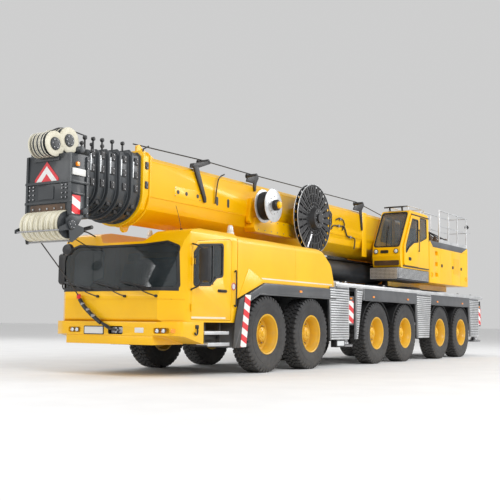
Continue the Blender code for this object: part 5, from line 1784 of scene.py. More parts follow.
    def outrigger(self, name: str, x: float, sign: int) -> None:
        """One outrigger beam with its striped block face, bolts and jack.

        Args:
            name: Which beam.
            x: Middle of the beam.
            sign: 1 on the left, -1 on the right.
        """
        beam = "outrigger_beam_" + name
        dress_node(beam, beam, plain_choice, (FENDER_GREY,), 0.006)
        face = Form(SIDE_STRIPES)
        near, far = beside(sign, 1.3205, 1.3235)
        face.prism(rounded((x - 0.13, 0.9), (x + 0.13, 1.38), 0.01), near, far, Axis.Y)
        face.piece(beam + "_stripes", beam)
        trim = Form(STEEL)
        bolts(trim, [(x + u, sign * 1.325, v) for u in (-0.1, 0.1) for v in (1.41, 1.455)], 0.013, 0.014, Axis.Y)
        trim.use(AMBER).prism(rounded((x - 0.04, 1.415), (x + 0.04, 1.45), 0.01), *beside(sign, 1.32, 1.334), Axis.Y)
        trim.use(DARK).turned([(0.0, 0.121), (0.0, 0.135), (0.05, 0.135), (0.05, 0.121)], (x, sign * 1.155, 0.625),
                              Axis.Z, 32)
        trim.piece(beam + "_trim", beam, slot="bright_steel")
        jack = "outrigger_jack_" + name
        pad = Form(STEEL)
        pad.turned([(0.4, 0.0), (0.4, 0.178), (0.412, 0.19), (0.448, 0.19), (0.462, 0.16), (0.462, 0.11), (0.5, 0.1),
                    (0.505, 0.085), (1.4, 0.085), (1.41, 0.078), (1.41, 0.0)], (x, sign * 1.155, 0.0), Axis.Z, 40)
        pad.piece(jack + "_dressed", jack, 0.0, (jack,), slot="bright_steel")


# ---------------------------------------------------------------- superstructure


@dataclass
class Superstructure:
    """Slewing frame, machinery housing with its walkway and rails, winch and lift cylinder."""

    housing_low: Place = (-7.25, 0.682, 1.99)
    housing_high: Place = (-4.2, 1.29, 2.94)
    rail_top: float = 4.0

    def build(self) -> None:
        """Makes each piece."""
        dress_node("superstructure", "superstructure", self.choose, (DARK, YELLOW), 0.008)
        self.ring()
        self.housing()
        self.rails()
        self.platform()
        self.machinery()
        self.winch()
        self.cylinder()

    @staticmethod
    def choose(middle: Vector, normal: Vector) -> int:
        """Yellow for the cheeks beside the boom, dark for the rest."""
        return 1 if abs(middle.y) < 0.7 and middle.z > 2.0 and middle.x < -4.0 else 0

    def ring(self) -> None:
        """Teeth and bolts round the slewing ring."""
        tooth = Form(STEEL).prism([(0.955, -0.02), (0.985, -0.01), (0.985, 0.01), (0.955, 0.02)], 1.755, 1.8, Axis.Z)
        bolt = Form(STEEL).disc((0.9, 0.0, 1.858), 0.018, 0.024, Axis.Z, 6, 0.003)
        place = Matrix.Translation((-4.2, 0.0, 0.0))
        settle(RING.made("slew_teeth", tooth, STEEL, 96, place=place), "superstructure", 0.0, ())
        bolts_ring = RING.made("slew_bolts", bolt, STEEL, 40, place=place)
        settle(bolts_ring, "superstructure", 0.0, ())

    def housing(self) -> None:
        """Yellow housing with a grey upper band, door gaps, steps and vents."""
        low, high = Vector(self.housing_low), Vector(self.housing_high)
        outline = square((low.x, low.z), (high.x, 3.1))
        body = slab(fillet(outline, (0.03, 0.03, 0.05, 0.05)), low.y, high.y, Axis.Y, YELLOW, FENDER_GREY)
        tools = []
        for x in (-5.02, -5.9, -6.6):
            tools.append(Form(YELLOW).box((x - 0.004, 1.284, 2.03), (x + 0.004, 1.3, 2.9)).object("gap"))
        for z in (2.79, 2.5, 2.22):
            tools.append(slab(rounded((-4.82, z - 0.055), (-4.62, z + 0.055), 0.03), 1.22, 1.3, Axis.Y, YELLOW))
        tools.append(Form(YELLOW).box((-7.2, 1.284, 2.935), (-4.25, 1.3, 2.943)).object("gap"))
        body = carve(body, tools)
        body.name = "housing_shell"
        for face in body.data.polygons:
            face.material_index = 1 if face.center.z > 2.94 else 0
        settle(body, "superstructure", 0.006, ("machinery_housing",), smooth=30.0)
        slat = Form(YELLOW).box((-6.52, 1.282, 2.3), (-6.02, 1.297, 2.316), Matrix.Rotation(0.5, 4, "X"))
        settle(GRID.made("housing_louvres", slat, YELLOW, 1, 16, rise=(0, 0, 0.028)), "superstructure", 0.0, ())
        form = Form(BLACK)
        for x in (-5.12, -5.98, -6.68):
            form.prism(rounded((x - 0.05, 2.44), (x + 0.05, 2.52), 0.012), 1.288, 1.3, Axis.Y)
        form.use(YELLOW)
        for x, y in ((-7.08, 1.31), (-4.35, 1.31)):
            form.tube([(x, 1.29, 2.16), (x, y + 0.01, 2.17), (x, y + 0.01, 2.24), (x, 1.29, 2.25)], 0.013)
        form.piece("housing_fittings", "superstructure", slot="reel_black")
        bead = Form(SILVER).disc((-7.15, 0.74, 3.102), 0.011, 0.012, Axis.Z, 8, 0.003)
        tread = GRID.made("walkway_tread", bead, SILVER, 48, 9, (0.06, 0, 0), (0, 0.06, 0))
        settle(tread, "superstructure", 0.0, ())

    def rails(self) -> None:
        """Round guard rails on posts with feet, knee rails and a toe board."""
        form = Form(GALVANISED)
        outer, inner, front, rear = 1.26, 0.742, -5.0, -7.22
        top, knee = self.rail_top - 0.02, 3.56
        for y in (outer, inner):
            for x in (front, -5.72, -6.46, rear):
                form.rod([(x, y, 3.1), (x, y, top)], 0.019, 12)
                form.prism(rounded((x - 0.05, y - 0.03), (x + 0.05, y + 0.03), 0.01), 3.1, 3.115, Axis.Z)
            form.rod([(front, y, top), (rear, y, top)], 0.019, 12)
            form.rod([(front, y, knee), (rear, y, knee)], 0.014, 12)
            form.prism(square((rear, 3.1), (front, 3.2)), y - 0.004, y + 0.004, Axis.Y)
        for z, size in ((top, 0.019), (knee, 0.014)):
            form.rod([(rear, outer, z), (rear, inner, z)], size, 12)
        form.tube([(-7.24, 1.26, 3.5), (-7.45, 1.22, 3.56), (-7.9, 1.1, 3.62), (-8.2, 1.05, 3.66)], 0.016)
        form.piece("walkway_rails", "superstructure", slot="deck_aluminium")
        lamp = Form(BLACK).turned([(-0.05, 0.0), (-0.05, 0.045), (0.03, 0.06), (0.05, 0.055), (0.05, 0.0)],
                                  (-7.3, 1.26, 3.74), Axis.X, 24)
        lamp.use(CLEAR_LENS).turned([(-0.05, 0.0), (-0.05, 0.04), (-0.062, 0.025), (-0.065, 0.0)], (-7.3, 1.26, 3.74),
                                    Axis.X, 24)
        lamp.piece("walkway_lamp", "superstructure", slot="lamp_plastic")

    def platform(self) -> None:
        """Punched front and slatted side of the platform under the operator's cab."""
        form = Form(SILVER)
        form.prism(fillet([(0.57, 1.99), (1.27, 1.99), (1.285, 2.02), (1.285, 2.25), (0.57, 2.25)], 0.01), -2.098,
                   -2.085, Axis.X)
        for index in range(9):
            z = 2.02 + index * 0.028
            form.prism(square((-4.14, z - 0.007), (-2.14, z + 0.007)), 1.281, 1.292, Axis.Y)
        form.piece("platform_cladding", "superstructure", 0.002, segments=1)
        hole = Form(BLACK).disc((-2.084, 0.61, 2.02), 0.01, 0.004, Axis.X, 8, 0.001)
        holes = GRID.made("platform_holes", hole, BLACK, 20, 7, (0, 0.034, 0), (0, 0, 0.034))
        settle(holes, "superstructure", 0.0, ())

    def machinery(self) -> None:
        """Valves, pump, hose bundle and tank on the right and behind the rails."""
        form = Form(FENDER_GREY)
        form.prism(rounded((-5.86, 2.24), (-3.4, 3.06), 0.08), -1.292, -1.276, Axis.Y)
        form.use(STEEL)
        for x in (-5.55, -4.65, -3.75):
            form.disc((x, -1.3, 2.65), 0.035, 0.03, Axis.Y, 20, 0.006)
        form.use(RUST)
        for x in (-5.35, -5.75, -6.15, -6.6):
            form.disc((x, 0.86, 3.2), 0.07, 0.2, Axis.Z, 20, 0.015)
            form.disc((x, 0.86, 3.32), 0.04, 0.08, Axis.Z, 16, 0.01)
        form.use(BLACK)
        form.prism(rounded((-6.75, 3.1), (-5.25, 3.17), 0.02), 0.78, 0.95, Axis.Y)
        for shift in range(4):
            y = 0.8 + shift * 0.04
            form.tube([(-5.3 - shift * 0.4, y, 3.3), (-5.2, y - 0.02, 3.42), (-4.85, y - 0.03, 3.38),
                       (-4.55, y - 0.03, 3.18), (-4.4, y - 0.03, 3.1)], 0.017)
        form.piece("hydraulic_block", "superstructure", 0.004)

    def winch(self) -> None:
        """Winch drum with deep flanges and its wound rope."""
        x, z = -6.78, 2.42
        form = Form(FENDER_GREY)
        for sign in (1, -1):
            form.turned([(0.595, 0.0), (0.595, 0.12), (0.53, 0.12), (0.53, 0.322), (0.52, 0.33), (0.505, 0.322),
                         (0.5, 0.21), (0.5, 0.0)], (x, 0, z), Axis.Y, 48, sign < 0)
        form.disc((x, 0, z), 0.2, 1.02, Axis.Y, 36)
        bolts(form, [(x + u, sign * 0.54, z + v) for sign in (1, -1) for u, v in ring((0, 0), 0.26, 12)], 0.014, 0.03,
              Axis.Y)
        form.piece("winch_drum", "hoist_winch_drum", 0.0, ("hoist_winch_drum",), slot="dark_steel")
        coil = Form(ROPE)
        profile = [(-0.495, 0.2)]
        for index in range(34):
            middle = -0.48 + index * 0.0291
            profile += [(middle - 0.0125, 0.236), (middle - 0.006, 0.248), (middle + 0.006, 0.248),
                        (middle + 0.0125, 0.236)]
        profile.append((0.495, 0.2))
        coil.turned(profile, (x, 0, z), Axis.Y, 40)
        coil.piece("winch_rope", "hoist_winch_drum", slot="dark_steel")

    def cylinder(self) -> None:
        """Lift cylinder: dark barrel with glands and hoses, plated rod with a welded eye."""
        base, eye = Vector((-3.9, 0.0, 2.17)), Vector((0.4, 0.0, 2.15))
        along = (eye - base).normalized()
        tilt = Matrix.Translation(base) @ Vector((0, 0, 1)).rotation_difference(along).to_matrix().to_4x4()
        for name, node, finish, profile in (
                ("lift_barrel", "lift_cylinder_barrel", DARK,
                 [(0.12, 0.0), (0.12, 0.13), (0.24, 0.235), (0.3, 0.25), (0.42, 0.25), (0.43, 0.243), (3.38, 0.243),
                  (3.39, 0.256), (3.53, 0.256), (3.55, 0.235), (3.55, 0.174), (3.42, 0.174), (3.42, 0.18), (0.4, 0.18),
                  (0.4, 0.0)]),
                ("lift_rod", "lift_cylinder_rod", CHROME,
                 [(0.45, 0.0), (0.45, 0.17), (4.14, 0.17), (4.16, 0.15), (4.16, 0.0)])):
            form = Form(finish)
            form.turned(profile, (0, 0, 0), Axis.Z, 48)
            bmesh.ops.transform(form.mesh, matrix=tilt, verts=form.mesh.verts)
            if finish is DARK:
                form.disc(base, 0.16, 0.4, Axis.Y, 36, 0.012)
                form.use(STEEL).disc(base, 0.07, 0.43, Axis.Y, 28, 0.008)
                form.use(BLACK)
                for y in (-0.1, 0.1):
                    form.tube([(-3.5, y, 2.43), (-2.6, y, 2.435), (-1.2, y, 2.43), (-0.52, y, 2.425)], 0.022)
            else:
                form.use(DARK).disc(eye, 0.16, 0.34, Axis.Y, 36, 0.012)
                form.use(STEEL).disc(eye, 0.07, 0.37, Axis.Y, 28, 0.008)
            form.piece(name, node, 0.0, (node,), slot=finish.slot)


@dataclass
class OperatorCab:
    """Crane operator's cab with its glass, sliding door, visor, lamps and seat."""

    outline: tuple[Point, ...] = ((-4.16, 2.272), (-2.3, 2.272), (-2.24, 2.55), (-2.28, 2.83), (-2.84, 3.72),
                                  (-3.0, 3.76), (-4.06, 3.74), (-4.14, 3.6))
    leaf: tuple[Point, ...] = ((-3.42, 2.34), (-2.44, 2.34), (-2.42, 2.8), (-2.92, 3.62), (-3.42, 3.62))
    window: tuple[Point, ...] = ((-2.52, 2.62), (-2.56, 2.84), (-2.96, 3.52), (-3.34, 3.52), (-3.34, 2.98),
                                 (-3.05, 2.94), (-2.74, 2.8))
    inner: float = 0.56
    outer: float = 1.29

    def build(self) -> None:
        """Makes each piece."""
        self.shell()
        self.panes()
        self.door()
        self.fittings()
        self.seat()

    def solid(self, amount: float) -> bpy.types.Object:
        """The cab's body, each wall moved in by an amount.

        Args:
            amount: How far each wall moves in.

        Returns:
            The body.
        """
        body = slab(fillet(inset(self.outline, amount), (0.03, 0.06, 0.05, 0.06, 0.09, 0.08, 0.07, 0.1)), 0.4, 1.5,
                    Axis.Y, YELLOW)
        low, high = self.inner + amount, self.outer - amount
        cross = slab(rounded((low, 2.2), (high, 3.762 - amount), (0, 0, 0.07, 0.07)), -4.3, -2.1, Axis.X, YELLOW)
        return carve(body, [cross], "INTERSECT")

    def openings(self, grow: float) -> list[bpy.types.Object]:
        """Front screen, rear and inner windows.

        Args:
            grow: How far each opening grows.

        Returns:
            The openings as solids.
        """
        front = slab(fillet(inset(square((self.inner + 0.035, 2.79), (self.outer - 0.035, 3.68)), -grow), 0.07), -2.92,
                     -2.0, Axis.X, RUBBER)
        rear = slab(fillet(inset([(-4.02, 3.12), (-3.53, 2.98), (-3.53, 3.62), (-4.0, 3.62)], -grow), 0.05), 0.3, 1.5,
                    Axis.Y, RUBBER)
        inner = slab(fillet(inset([(-2.6, 2.95), (-3.4, 2.95), (-3.4, 3.6), (-2.94, 3.6)], -grow), 0.05), 0.3, 0.9,
                     Axis.Y, RUBBER)
        return [front, rear, inner]

    def shell(self) -> None:
        """The painted shell with its openings."""
        body = carve(self.solid(0.0), [self.solid(0.045)])
        doorway = slab(fillet(inset(self.leaf, 0.035), 0.04), 1.1, 1.5, Axis.Y, YELLOW)
        body = carve(body, [doorway, *self.openings(0.0)])
        body.name = "operator_cab_shell"
        settle(body, "superstructure", 0.0, ("crane_cab",), smooth=30.0)

    def panes(self) -> None:
        """Glass and seals that follow the shell."""
        for number, (hole, wide, tight) in enumerate(zip(self.openings(0.0), self.openings(0.018),
                                                         self.openings(-0.012))):
            glass = carve(carve(self.solid(0.012), [self.solid(0.02)]), [hole], "INTERSECT")
            proud = 0.002 if number == 1 else -0.004
            seal = carve(carve(self.solid(proud), [self.solid(0.024)]), [carve(wide, [tight])], "INTERSECT")
            for made, finish, name in ((glass, CRANE_GLASS, "glass"), (seal, RUBBER, "seal")):
                made.data.materials.clear()
                made.data.materials.append(finish.make())
                for face in made.data.polygons:
                    face.material_index = 0
                made.name = f"operator_{name}_{number}"
                settle(made, "superstructure", 0.0, ())

    def door(self) -> None:
        """Sliding door leaf with its window, seal and handles."""
        low, high = 1.2915, 1.3255
        leaf = slab(fillet(self.leaf, 0.05), low, high, Axis.Y, YELLOW)
        leaf = carve(leaf, [slab(fillet(self.window, 0.04), 1.2, 1.4, Axis.Y, YELLOW)])
        leaf.name = "operator_door"
        settle(leaf, "crane_cab_door", 0.005, ("crane_cab_door",))
        seal = carve(slab(fillet(inset(self.window, -0.02), 0.05), low + 0.004, high + 0.003, Axis.Y, RUBBER),
                     [slab(fillet(inset(self.window, 0.012), 0.04), 1.2, 1.4, Axis.Y, RUBBER)])
        seal.name = "operator_door_seal"
        settle(seal, "crane_cab_door", 0.002, ())
        Form(CRANE_GLASS).prism(fillet(self.window, 0.04), 1.305, 1.311, Axis.Y).piece("operator_door_glass",
                                                                                      "crane_cab_door")
        form = Form(BLACK)
        form.prism(rounded((-2.86, 2.47), (-2.7, 2.55), 0.02), 1.3255, 1.333, Axis.Y)
        form.tube([(-2.84, 1.333, 2.51), (-2.82, 1.352, 2.51), (-2.75, 1.352, 2.51), (-2.73, 1.333, 2.51)], 0.009)
        form.tube([(-3.36, 1.326, 2.75), (-3.36, 1.352, 2.77), (-3.36, 1.352, 3.25), (-3.36, 1.326, 3.27)], 0.01)
        form.piece("operator_door_handle", "crane_cab_door")

    def fittings(self) -> None:
        """Roof rails, visor, lamps, vent, wiper and the tracks of the door."""
        form = Form(GALVANISED)
        for y in (0.66, 1.2):
            form.tube([(-2.98, y, 3.75), (-3.0, y, 3.84), (-3.08, y, 3.87), (-3.9, y, 3.87), (-4.02, y, 3.85),
                       (-4.04, y, 3.73)], 0.013)
        form.rod([(-3.1, 0.66, 3.87), (-3.1, 1.2, 3.87)], 0.012)
        form.rod([(-3.9, 0.66, 3.87), (-3.9, 1.2, 3.87)], 0.012)
        form.piece("operator_roof_rails", "superstructure", slot="deck_aluminium")
        form = Form(BLACK)
        form.prism(fillet([(-2.72, 3.83), (-2.98, 3.875), (-2.98, 3.85), (-2.74, 3.8)], 0.006), 0.66, 1.18, Axis.Y)
        form.prism([(-2.9, 3.74), (-2.86, 3.74), (-2.84, 3.84), (-2.88, 3.84)], 0.74, 0.77, Axis.Y)
        form.prism([(-2.9, 3.74), (-2.86, 3.74), (-2.84, 3.84), (-2.88, 3.84)], 1.07, 1.1, Axis.Y)
        form.prism(rounded((-4.13, 2.305), (-2.42, 2.33), 0.005), 1.288, 1.312, Axis.Y)
        form.prism(rounded((-4.13, 3.635), (-2.95, 3.66), 0.005), 1.288, 1.312, Axis.Y)
        form.prism(rounded((0.78, 2.625), (0.98, 2.7), 0.015), -2.262, -2.235, Axis.X)
        form.rod([(-2.262, 0.92, 2.78), (-2.44, 0.86, 3.1), (-2.6, 0.83, 3.36)], 0.01, 8)
        for y in (0.66, 1.19):
            form.turned([(-0.03, 0.0), (-0.03, 0.05), (0.028, 0.058), (0.03, 0.052), (0.018, 0.045), (0.018, 0.0)],
                        (-2.245, y, 2.67), Axis.X, 28)
        form.use(CLEAR_LENS)
        for y in (0.66, 1.19):
            form.turned([(0.018, 0.0), (0.018, 0.046), (0.03, 0.035), (0.036, 0.0)], (-2.245, y, 2.67), Axis.X, 28)
        form.use(RUST).prism(rounded((self.inner + 0.04, 2.33), (self.outer - 0.04, 2.53), 0.03), -2.285, -2.262,
                             Axis.X)
        form.piece("operator_cab_fittings", "superstructure", slot="reel_black")

    def seat(self) -> None:
        """Seat base, armrests with levers and the padded seat and back."""
        y = (self.inner + self.outer) / 2
        form = Form(CABIN)
        form.prism(rounded((-3.56, y - 0.16), (-3.22, y + 0.16), 0.05), 2.33, 2.6, Axis.Z)
        form.prism(fillet([(-3.6, 2.66), (-3.74, 3.38), (-3.82, 3.37), (-3.72, 2.6)], 0.02), y - 0.22, y + 0.22, Axis.Y)
        for side in (-1, 1):
            edge = sorted((y + side * 0.25, y + side * 0.31))
            form.prism(fillet([(-3.62, 2.8), (-3.18, 2.82), (-3.16, 2.9), (-3.62, 2.88)], 0.02), *edge, Axis.Y)
            form.use(BLACK).rod([(-3.22, y + side * 0.28, 2.89), (-3.2, y + side * 0.28, 3.02)], 0.014, 10)
            form.use(CABIN)
        form.prism(fillet([(-2.42, 2.34), (-2.34, 2.56), (-2.38, 2.78), (-2.5, 2.74), (-2.56, 2.34)], 0.02),
                   self.inner + 0.08, self.outer - 0.1, Axis.Y)
        form.piece("operator_seat_base", "superstructure", 0.0, ("crane_cab_seat",))
        pad = Form(SEAT_CLOTH).prism(rounded((-3.64, y - 0.23), (-3.14, y + 0.23), 0.06), 2.61, 2.72, Axis.Z)
        cushion(pad, "operator_seat_cushion", "superstructure")
        rest = Form(SEAT_CLOTH).prism(fillet([(-3.53, 2.76), (-3.56, 2.75), (-3.69, 3.36), (-3.65, 3.37), (-3.5, 2.8)],
                                             0.015), y - 0.21, y + 0.21, Axis.Y)
        cushion(rest, "operator_seat_back", "superstructure")


# ---------------------------------------------------------------- boom


@dataclass
class Boom:
    """Base section with its fittings, and the five collars of the sliding sections."""

    fronts: tuple[float, ...] = (6.64, 6.89, 7.14, 7.36, 7.55, 7.73)
    belly: tuple[float, float, float, float] = (0.52, 3.6, 2.95, 2.5)

    def build(self) -> None:
        """Makes each piece."""
        dress_node("base_boom", "boom", plain_choice, (YELLOW,), 0.01)
        self.base_edges()
        self.base_fittings()
        self.brackets()
        self.pipes()
        for number in range(1, 6):
            self.collar(number)

    def section(self, grow: float, steps: int = 16) -> list[Point]:
        """Outline of the boom, grown by an amount, as (y, z).

        Args:
            grow: How far it grows outwards.
            steps: Segments of the belly.

        Returns:
            The outline.
        """
        half, top, crease, bottom = self.belly
        half, top, depth = half + grow, top + grow, crease - bottom + grow
        arc = [(half * math.cos(math.pi * i / steps), crease - depth * math.sin(math.pi * i / steps))
               for i in range(steps + 1)]
        return [(half - 0.07, top), (half, top - 0.07), *arc, (-half, top - 0.07), (0.07 - half, top)]

    def frame_round(self, form: Form, low: float, high: float, inner: float, outer: float) -> None:
        """A hoop round the boom between two depths.

        Args:
            form: Where it goes.
            low: Start along the boom.
            high: End along the boom.
            inner: Inner depth.
            outer: Outer depth.
        """
        rows = []
        for x, grow in ((low, inner), (low, outer - 0.006), (low + 0.006, outer), (high - 0.006, outer),
                        (high, outer - 0.006), (high, inner)):
            rows.append([form.mesh.verts.new((x, y, z)) for y, z in self.section(grow)])
        form.skin([*rows, rows[0]], False)

    def base_edges(self) -> None:
        """Hoops and pads of the base section's front collar."""
        form = Form(YELLOW)
        self.frame_round(form, 6.44, 6.47, -0.004, 0.06)
        self.frame_round(form, 6.6, 6.645, -0.01, 0.062)
        for y in (-0.4, 0.4):
            form.prism(fillet([(6.2, 3.59), (6.62, 3.64), (6.62, 3.75), (6.56, 3.78), (6.48, 3.72), (6.2, 3.62)],
                              0.012), y - 0.02, y + 0.02, Axis.Y)
        form.prism(fillet([(6.3, 2.5), (6.36, 2.38), (6.42, 2.36), (6.48, 2.4), (6.5, 2.5)], 0.015), -0.03, 0.03,
                   Axis.Y)
        form.piece("base_collar_edges", "boom")
        pads = Form(BLACK)
        for sign in (1, -1):
            for z in (3.1, 3.42):
                pads.prism(rounded((6.5, z - 0.06), (6.58, z + 0.06), 0.012), *beside(sign, 0.56, 0.578), Axis.Y)
                pads.use(STEEL)
                bolts(pads, [(6.54, sign * 0.583, z + v) for v in (-0.035, 0.035)], 0.011, 0.014, Axis.Y)
                pads.use(BLACK)
        for y in (-0.3, 0.0, 0.3):
            pads.prism(rounded((6.49, y - 0.07), (6.59, y + 0.07), 0.012), 3.64, 3.665, Axis.Z)
        pads.piece("base_collar_pads", "boom", 0.002)

    def base_fittings(self) -> None:
        """Weld seam, inspection holes, ports, seams of the top plate and boxes under the reels."""
        form = Form(YELLOW)
        for sign in (1, -1):
            form.rod([(-4.6, sign * 0.5195, 2.935), (6.42, sign * 0.5195, 2.935)], 0.006, 6)
            form.rod([(-5.35, sign * 0.5195, 3.515), (6.42, sign * 0.5195, 3.515)], 0.005, 6)
            form.prism(rounded((4.96, 3.02), (5.74, 3.2), 0.03), *beside(sign, 0.515, 0.5225), Axis.Y)
        form.prism(fillet([(1.73, 2.64), (3.34, 2.64), (3.4, 2.72), (3.34, 2.92), (1.73, 2.92)], 0.03), 0.42, 0.66,
                   Axis.Y)
        for x in (1.5, 3.23):
            form.prism(fillet([(x - 0.26, 2.8), (x + 0.26, 2.8), (x + 0.16, 3.3), (x - 0.16, 3.3)], 0.06), 0.515, 0.6,
                       Axis.Y)
            form.disc((x, 0.64, 3.07 if x < 2 else 3.14), 0.12, 0.16, Axis.Y, 32, 0.01)
        form.prism(square((-1.98, 2.52), (-1.72, 3.6)), 0.515, 0.5235, Axis.Y)
        form.prism(square((-1.98, 2.95), (-1.72, 3.6)), -0.5235, -0.515, Axis.Y)
        form.piece("base_boom_plates", "boom", 0.004)
        dark = Form(BLACK)
        for sign in (1, -1):
            for x in (5.63, 5.39, 5.06):
                dark.disc((x, sign * 0.5235, 3.11), 0.036, 0.006, Axis.Y, 24, 0.001)
            for x in (4.45, 4.09):
                dark.prism(rounded((x - 0.035, 3.02), (x + 0.035, 3.18), 0.033, 6), *beside(sign, 0.518, 0.5235),
                           Axis.Y)
        dark.use(STEEL)
        bolts(dark, [(x, sign * 0.524, z) for sign in (1, -1) for x in (4.99, 5.71) for z in (3.05, 3.17)], 0.012,
              0.014, Axis.Y)
        bolts(dark, [(1.8 + i * 0.24, 0.664, z) for i in range(7) for z in (2.69, 2.88)], 0.011, 0.014, Axis.Y)
        dark.piece("base_boom_ports", "boom", slot="reel_black")

    def brackets(self) -> None:
        """Black guide arms standing on the top edge with their rollers."""
        form = Form(BLACK)
        form.prism(fillet([(5.24, 3.62), (5.1, 3.64), (4.84, 3.1), (4.84, 3.02), (4.9, 3.02), (4.93, 3.1)], 0.012),
                   0.53, 0.56, Axis.Y)
        form.prism(fillet([(5.24, 3.6), (5.22, 3.68), (4.72, 3.8), (4.7, 3.75), (5.06, 3.62)], 0.012), 0.46, 0.54,
                   Axis.Y)
        form.tube([(4.26, 0.54, 3.62), (4.4, 0.55, 3.56), (4.48, 0.555, 3.46), (4.52, 0.55, 3.25), (4.54, 0.54, 3.04)],
                  0.018, 8, 0.6)
        form.prism(fillet([(3.5, 3.6), (3.47, 3.68), (3.09, 3.78), (3.07, 3.72), (3.14, 3.62), (3.17, 3.45),
                           (3.22, 3.45), (3.24, 3.6)], 0.012), 0.52, 0.55, Axis.Y)
        form.prism(fillet([(-1.2, 3.6), (-1.28, 3.7), (-1.77, 3.82), (-1.79, 3.76), (-1.66, 3.64), (-1.72, 3.15),
                           (-1.66, 3.15), (-1.56, 3.6)], 0.012), 0.52, 0.55, Axis.Y)
        for x, z in ((4.76, 3.79), (3.12, 3.78), (-1.74, 3.82)):
            form.disc((x, 0.42, z), 0.035, 0.24, Axis.Y, 20, 0.006)
            form.disc((x, 0.3, z), 0.05, 0.02, Axis.Y, 20, 0.004)
        form.rod([(-0.02, 0.53, 3.42), (-0.02, 0.56, 3.36), (-0.02, 0.56, 3.14), (-0.02, 0.53, 3.08)], 0.02, 10)
        form.piece("boom_guide_arms", "boom", 0.003)

    def pipes(self) -> None:
        """Hose loops on the side and the long tube over the top edge."""
        form = Form(BLACK)
        form.tube([(-0.05, 0.54, 3.02), (-0.16, 0.545, 3.11), (-0.42, 0.545, 3.13), (-0.71, 0.545, 3.13),
                   (-0.87, 0.545, 2.94), (-1.2, 0.545, 2.92), (-1.28, 0.545, 2.86), (-1.26, 0.53, 2.66)], 0.016, 10)
        form.tube([(-0.3, 0.54, 3.26), (-0.45, 0.545, 3.31), (-0.64, 0.545, 3.29), (-0.72, 0.545, 3.18),
                   (-0.62, 0.54, 3.05)], 0.014, 10)
        form.rod([(6.58, 0.3, 3.8), (4.72, 0.36, 3.83), (3.1, 0.36, 3.82), (-1.74, 0.36, 3.86), (-3.9, 0.36, 3.62)],
                 0.011, 8)
        form.rod([(6.5, 0.44, 3.64), (6.48, 0.44, 3.72), (6.3, 0.4, 3.8)], 0.012, 8)
        form.use(STEEL)
        for x, y, z in ((-0.42, 0.53, 3.13), (-1.02, 0.53, 2.925), (-0.5, 0.53, 3.3)):
            form.prism(rounded((x - 0.03, z - 0.03), (x + 0.03, z + 0.03), 0.008), 0.515, y + 0.035, Axis.Y)
        form.piece("boom_hoses", "boom", slot="black_rubber")

    def collar(self, number: int) -> None:
        """One sliding section with its hoops, bolted pads, a pale strip that glows faintly though it is no lamp
        (painted light), and top posts.

        Args:
            number: Number of the section, the outermost first.
        """
        node = f"boom_section_{number}"
        dress_node(node, node, plain_choice, (BOOM_GREY,), 0.004)
        low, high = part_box(node)
        rear, front = self.fronts[number - 1] + 0.02, self.fronts[number]
        grow = high.y - 0.52
        form = Form(BOOM_GREY)
        self.frame_round(form, front - 0.028, front + 0.004, grow - 0.03, grow + 0.018)
        self.frame_round(form, rear - 0.004, rear + 0.022, grow - 0.03, grow + 0.012)
        middle = (rear + front) / 2
        for y in (-0.34, -0.12, 0.12, 0.34):
            form.prism(rounded((rear + 0.02, y - 0.012), (front - 0.02, y + 0.012), 0.004), high.z - 0.005,
                       high.z + 0.022, Axis.Z)
        form.piece(node + "_hoops", node)
        pads = Form(BLACK)
        for sign in (1, -1):
            side = sign * high.y
            for z in (3.02, 3.24, 3.46):
                pads.prism(rounded((middle - 0.055, z - 0.07), (middle + 0.035, z + 0.05), 0.012),
                           *beside(sign, high.y - 0.004, high.y + 0.016), Axis.Y)
                pads.use(STEEL)
                bolts(pads, [(middle - 0.01, side + sign * 0.02, z + v) for v in (-0.045, 0.025)], 0.011, 0.014, Axis.Y)
                pads.use(BLACK)
            for z in (2.72, 2.62):
                reach = high.y * math.cos(math.asin(min(0.99, (2.95 - z) / (2.95 - low.z))))
                near, far = beside(sign, reach - 0.03, reach + 0.022)
                pads.box((middle - 0.04, near, z - 0.03), (middle + 0.04, far, z + 0.03))
        pads.use(BLACK)
        for y in (-0.2, 0.24):
            pads.rod([(middle, y, high.z - 0.01), (middle, y, high.z + 0.14 + 0.015 * number)], 0.016, 10)
            pads.disc((middle, y, high.z + 0.15 + 0.015 * number), 0.032, 0.05, Axis.Y, 18, 0.006)
            pads.use(STEEL)
            bolts(pads, [(middle + u, y + v, high.z + 0.004) for u in (-0.04, 0.04) for v in (-0.04, 0.04)], 0.01,
                  0.014, Axis.Z)
            pads.use(BLACK)
        # Pale strip on the left side near the front edge, in the lens finish that glows faintly: painted light, as the
        # strip is no lamp.
        pads.use(CLEAR_LENS)
        pads.prism(rounded((front - 0.055, 3.18), (front - 0.034, 3.44), 0.006), high.y + 0.004, high.y + 0.016, Axis.Y)
        pads.piece(node + "_pads", node, 0.002, slot="reel_black")


